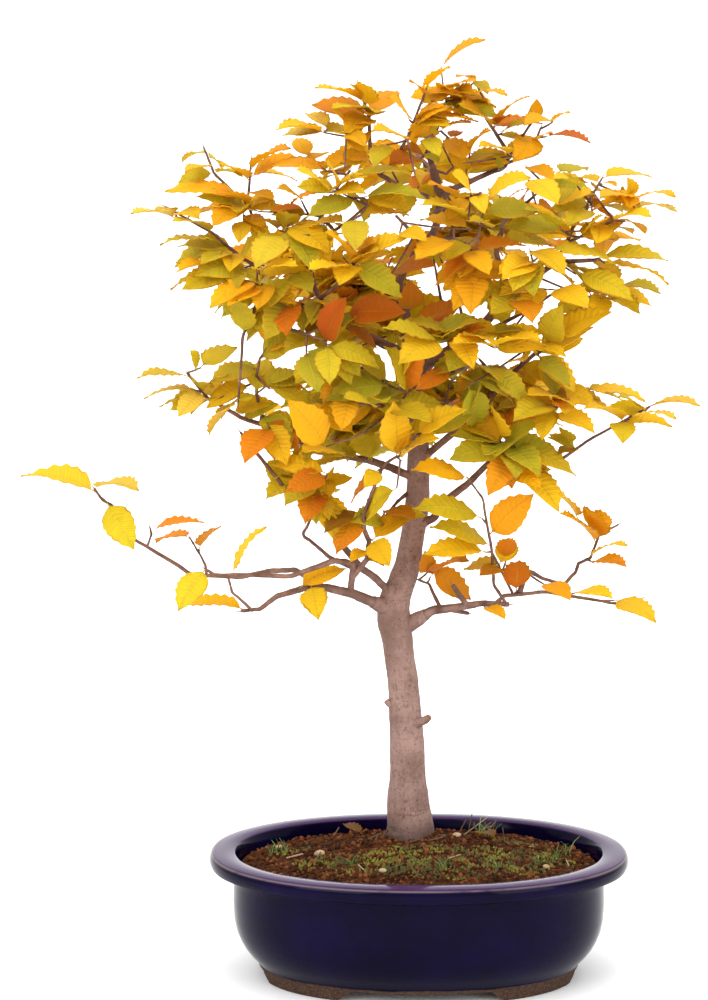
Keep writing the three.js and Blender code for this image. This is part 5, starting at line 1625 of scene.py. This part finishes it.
def leafMaterial():
    paint = Paint("autumnLeaf")
    tone = paint.attribute("leafTone")
    own, green = tone[0], tone[3]
    spot = paint.place()
    u, v, _ = paint.parts(paint.node("ShaderNodeUVMap", {"uv_map": "UVMap"})[0])
    across = abs(u - 0.5) * 2
    blade = (v - leafLook["stalk"]) / (1 - leafLook["stalk"])
    # side veins leave the midrib at a slant, eight on each side
    lane = abs(((blade - across * 0.13) * 9.0).fraction() - 0.5) * 2
    vein = lane.step(0.80, 1.0)
    valley = (1 - lane).step(0.55, 1.0)
    rib = 1 - across.step(0.03, 0.10)
    mottle = paint.noise(spot, 170, 4)
    drift = paint.noise(spot, 55, 2)
    greenShare = green * (valley * 0.35 + 0.75) * (mottle.step(0.3, 0.7) * 0.6 + 0.5)
    colour = paint.mix(greenShare, own, leafLook["green"])
    colour = paint.mix(vein * 0.12 + rib * (green * 0.3 + 0.10), colour, leafLook["veinShade"])
    colour = paint.mix(valley * 0.14, colour, leafLook["valley"])
    # green leaves turn first along their edges
    turning = (across + drift * 0.5).step(0.8, 1.3) * green.step(0, 0.3) * 0.35
    colour = paint.mix(turning, colour, leafLook["edge"])
    # dry brown edges and specks
    dry = (across + drift * 0.9).step(1.36, 1.52) * 0.75
    colour = paint.mix(dry, colour, leafLook["dry"])
    colour = paint.mix(paint.noise(spot, 800, 2).step(0.70, 0.78) * 0.4, colour, leafLook["dry"])
    relief = vein * 0.00035 + rib * 0.0005 - valley * 0.0003 + mottle * 0.0001
    paint.finish(colour=colour, roughness=0.5 + mottle * 0.12, specular=0.22,
                 normal=paint.bump(relief, 0.9, 1.0))
    # light that falls through the thin blade
    glow = paint.node("ShaderNodeBsdfTranslucent", {}, {"Color": (*leafLook["glow"], 1)})[0]
    shaders = [leafLook["glowShare"], paint.shader.outputs[0], glow.socket]
    both = paint.node("ShaderNodeMixShader", {}, shaders)[0]
    paint.tree.links.new(both.socket, paint.output.inputs["Surface"])
    return paint.material


def makeLeaves(name, originals, material):
    draw = random.Random(name + "leaves")
    copies = []
    for leaf in leaves[name]:
        along = leaf["tip"] - leaf["start"]
        long = along.length
        along.normalize()
        up = (leaf["face"] - along * leaf["face"].dot(along)).normalized()
        side = along.cross(up)
        width = leafLook["seenWidth" if leaf["seen"] else "fillWidth"]
        place = Matrix((side * width, along, up)).transposed().to_4x4()
        place = Matrix.Translation(leaf["start"]) @ place @ Matrix.Scale(long, 4)
        rgb, green = leafLook["tints"][leaf["tint"]]
        shade = draw.uniform(*leafLook["shade"])
        tone = [linear(level) * shade for level in rgb]
        tone[1] *= 1 + draw.uniform(-leafLook["warmth"], leafLook["warmth"])
        tone.append(max(0, green + draw.uniform(-leafLook["greenSpread"], leafLook["greenSpread"])))
        copies.append(copyOf(draw.choice(originals[leaf["seen"]]), place, leafTone=tone))
    whole = joinAll("leaves_" + name[7:], copies)
    bringHome(whole)
    finishPiece(whole, material, name)


# the leaves that fill the crown have fewer faces
leafShapes = {seen: [modelLeaf(index, shape, columns) for index, shape in enumerate(leafLook["shapes"])]
              for seen, columns in ((True, 4), (False, 2))}
leafPaint = leafMaterial()
for name in branches:
    makeLeaves(name, leafShapes, leafPaint)


def makeFallen():
    # two dead leaves lie on the soil
    copies = []
    for index, (x, y, turn, long) in enumerate([(38, 32, 200, 22), (-34, 30, 40, 18)]):
        lay = Matrix.Rotation(math.radians(turn), 4, "Z") @ Matrix.Rotation(math.radians(8), 4, "X")
        place = Matrix.Translation((x, y, soilHeight(x, y) + 1.6)) @ lay @ Matrix.Scale(long, 4)
        copies.append(copyOf(leafShapes[True][index + 1], place, leafTone=(0.16, 0.062, 0.02, 0)))
    fallen = joinAll("fallenLeaves", copies)
    bringHome(fallen)
    finishPiece(fallen, leafPaint, "soil")


makeFallen()
for shape in leafShapes[True] + leafShapes[False]:
    bpy.data.objects.remove(shape)
print("stage: leaves")


# Studio: pale floor and backdrop in one sweep, soft light
studio = {
    "floor": (0.93, 0.93, 0.93), "sky": 1.03,
    # place, aim, size in metres, watts
    "lamps": {"skyPanel": ((0, -0.3, 2.3), (0, 0, 0.2), (2.6, 2.2), 36),
              "keyLight": ((-1.4, -1.9, 1.5), (0, 0, 0.3), (1.6, 1.4), 30),
              "fillLight": ((1.8, -1.8, 0.9), (0, 0, 0.25), (1.4, 1.4), 23),
              "backLight": ((0.2, 1.0, 2.6), (0, 4, 0.9), (2.6, 1.2), 90)},
}


def makeStudio():
    clearSelection()
    bpy.ops.mesh.primitive_plane_add(size=1)
    floor = bpy.context.object
    floor.name = "studioFloor"
    for vertex in floor.data.vertices:
        vertex.co = (vertex.co.x * 12, -4 if vertex.co.y < 0 else 1.6, 0)
    bpy.ops.object.mode_set(mode="EDIT")
    bpy.ops.mesh.select_all(action="DESELECT")
    bpy.ops.object.mode_set(mode="OBJECT")
    for edge in floor.data.edges:
        edge.select = all(floor.data.vertices[index].co.y > 1 for index in edge.vertices)
    bpy.ops.object.mode_set(mode="EDIT")
    bpy.ops.mesh.select_mode(type="EDGE")
    for step in range(1, 9):
        angle = math.radians(step * 11.25)
        rise = (0, 0.8 * math.cos(angle), 0.8 * math.sin(angle))
        bpy.ops.mesh.extrude_region_move(TRANSFORM_OT_translate={"value": rise})
    bpy.ops.object.mode_set(mode="OBJECT")
    smooth(floor, 60)
    paint = Paint("studioPaper")
    floor.data.materials.append(paint.finish(colour=studio["floor"], roughness=0.9))
    world = bpy.data.worlds.new("studioSky")
    bpy.context.scene.world = world
    world.use_nodes = True
    sky = world.node_tree.nodes["Background"].inputs
    sky["Color"].default_value = (1, 1, 1, 1)
    sky["Strength"].default_value = studio["sky"]
    for name, (place, aim, size, power) in studio["lamps"].items():
        aimWay = Vector(aim) - Vector(place)
        turn = aimWay.to_track_quat("-Z", "Y").to_euler()
        bpy.ops.object.light_add(type="AREA", location=place, rotation=turn)
        lamp = bpy.context.object
        lamp.name = name
        lamp.data.shape = "RECTANGLE"
        lamp.data.size, lamp.data.size_y = size
        lamp.data.energy = power
    bpy.context.scene.view_settings.view_transform = "Standard"


makeStudio()
print("stage: studio")
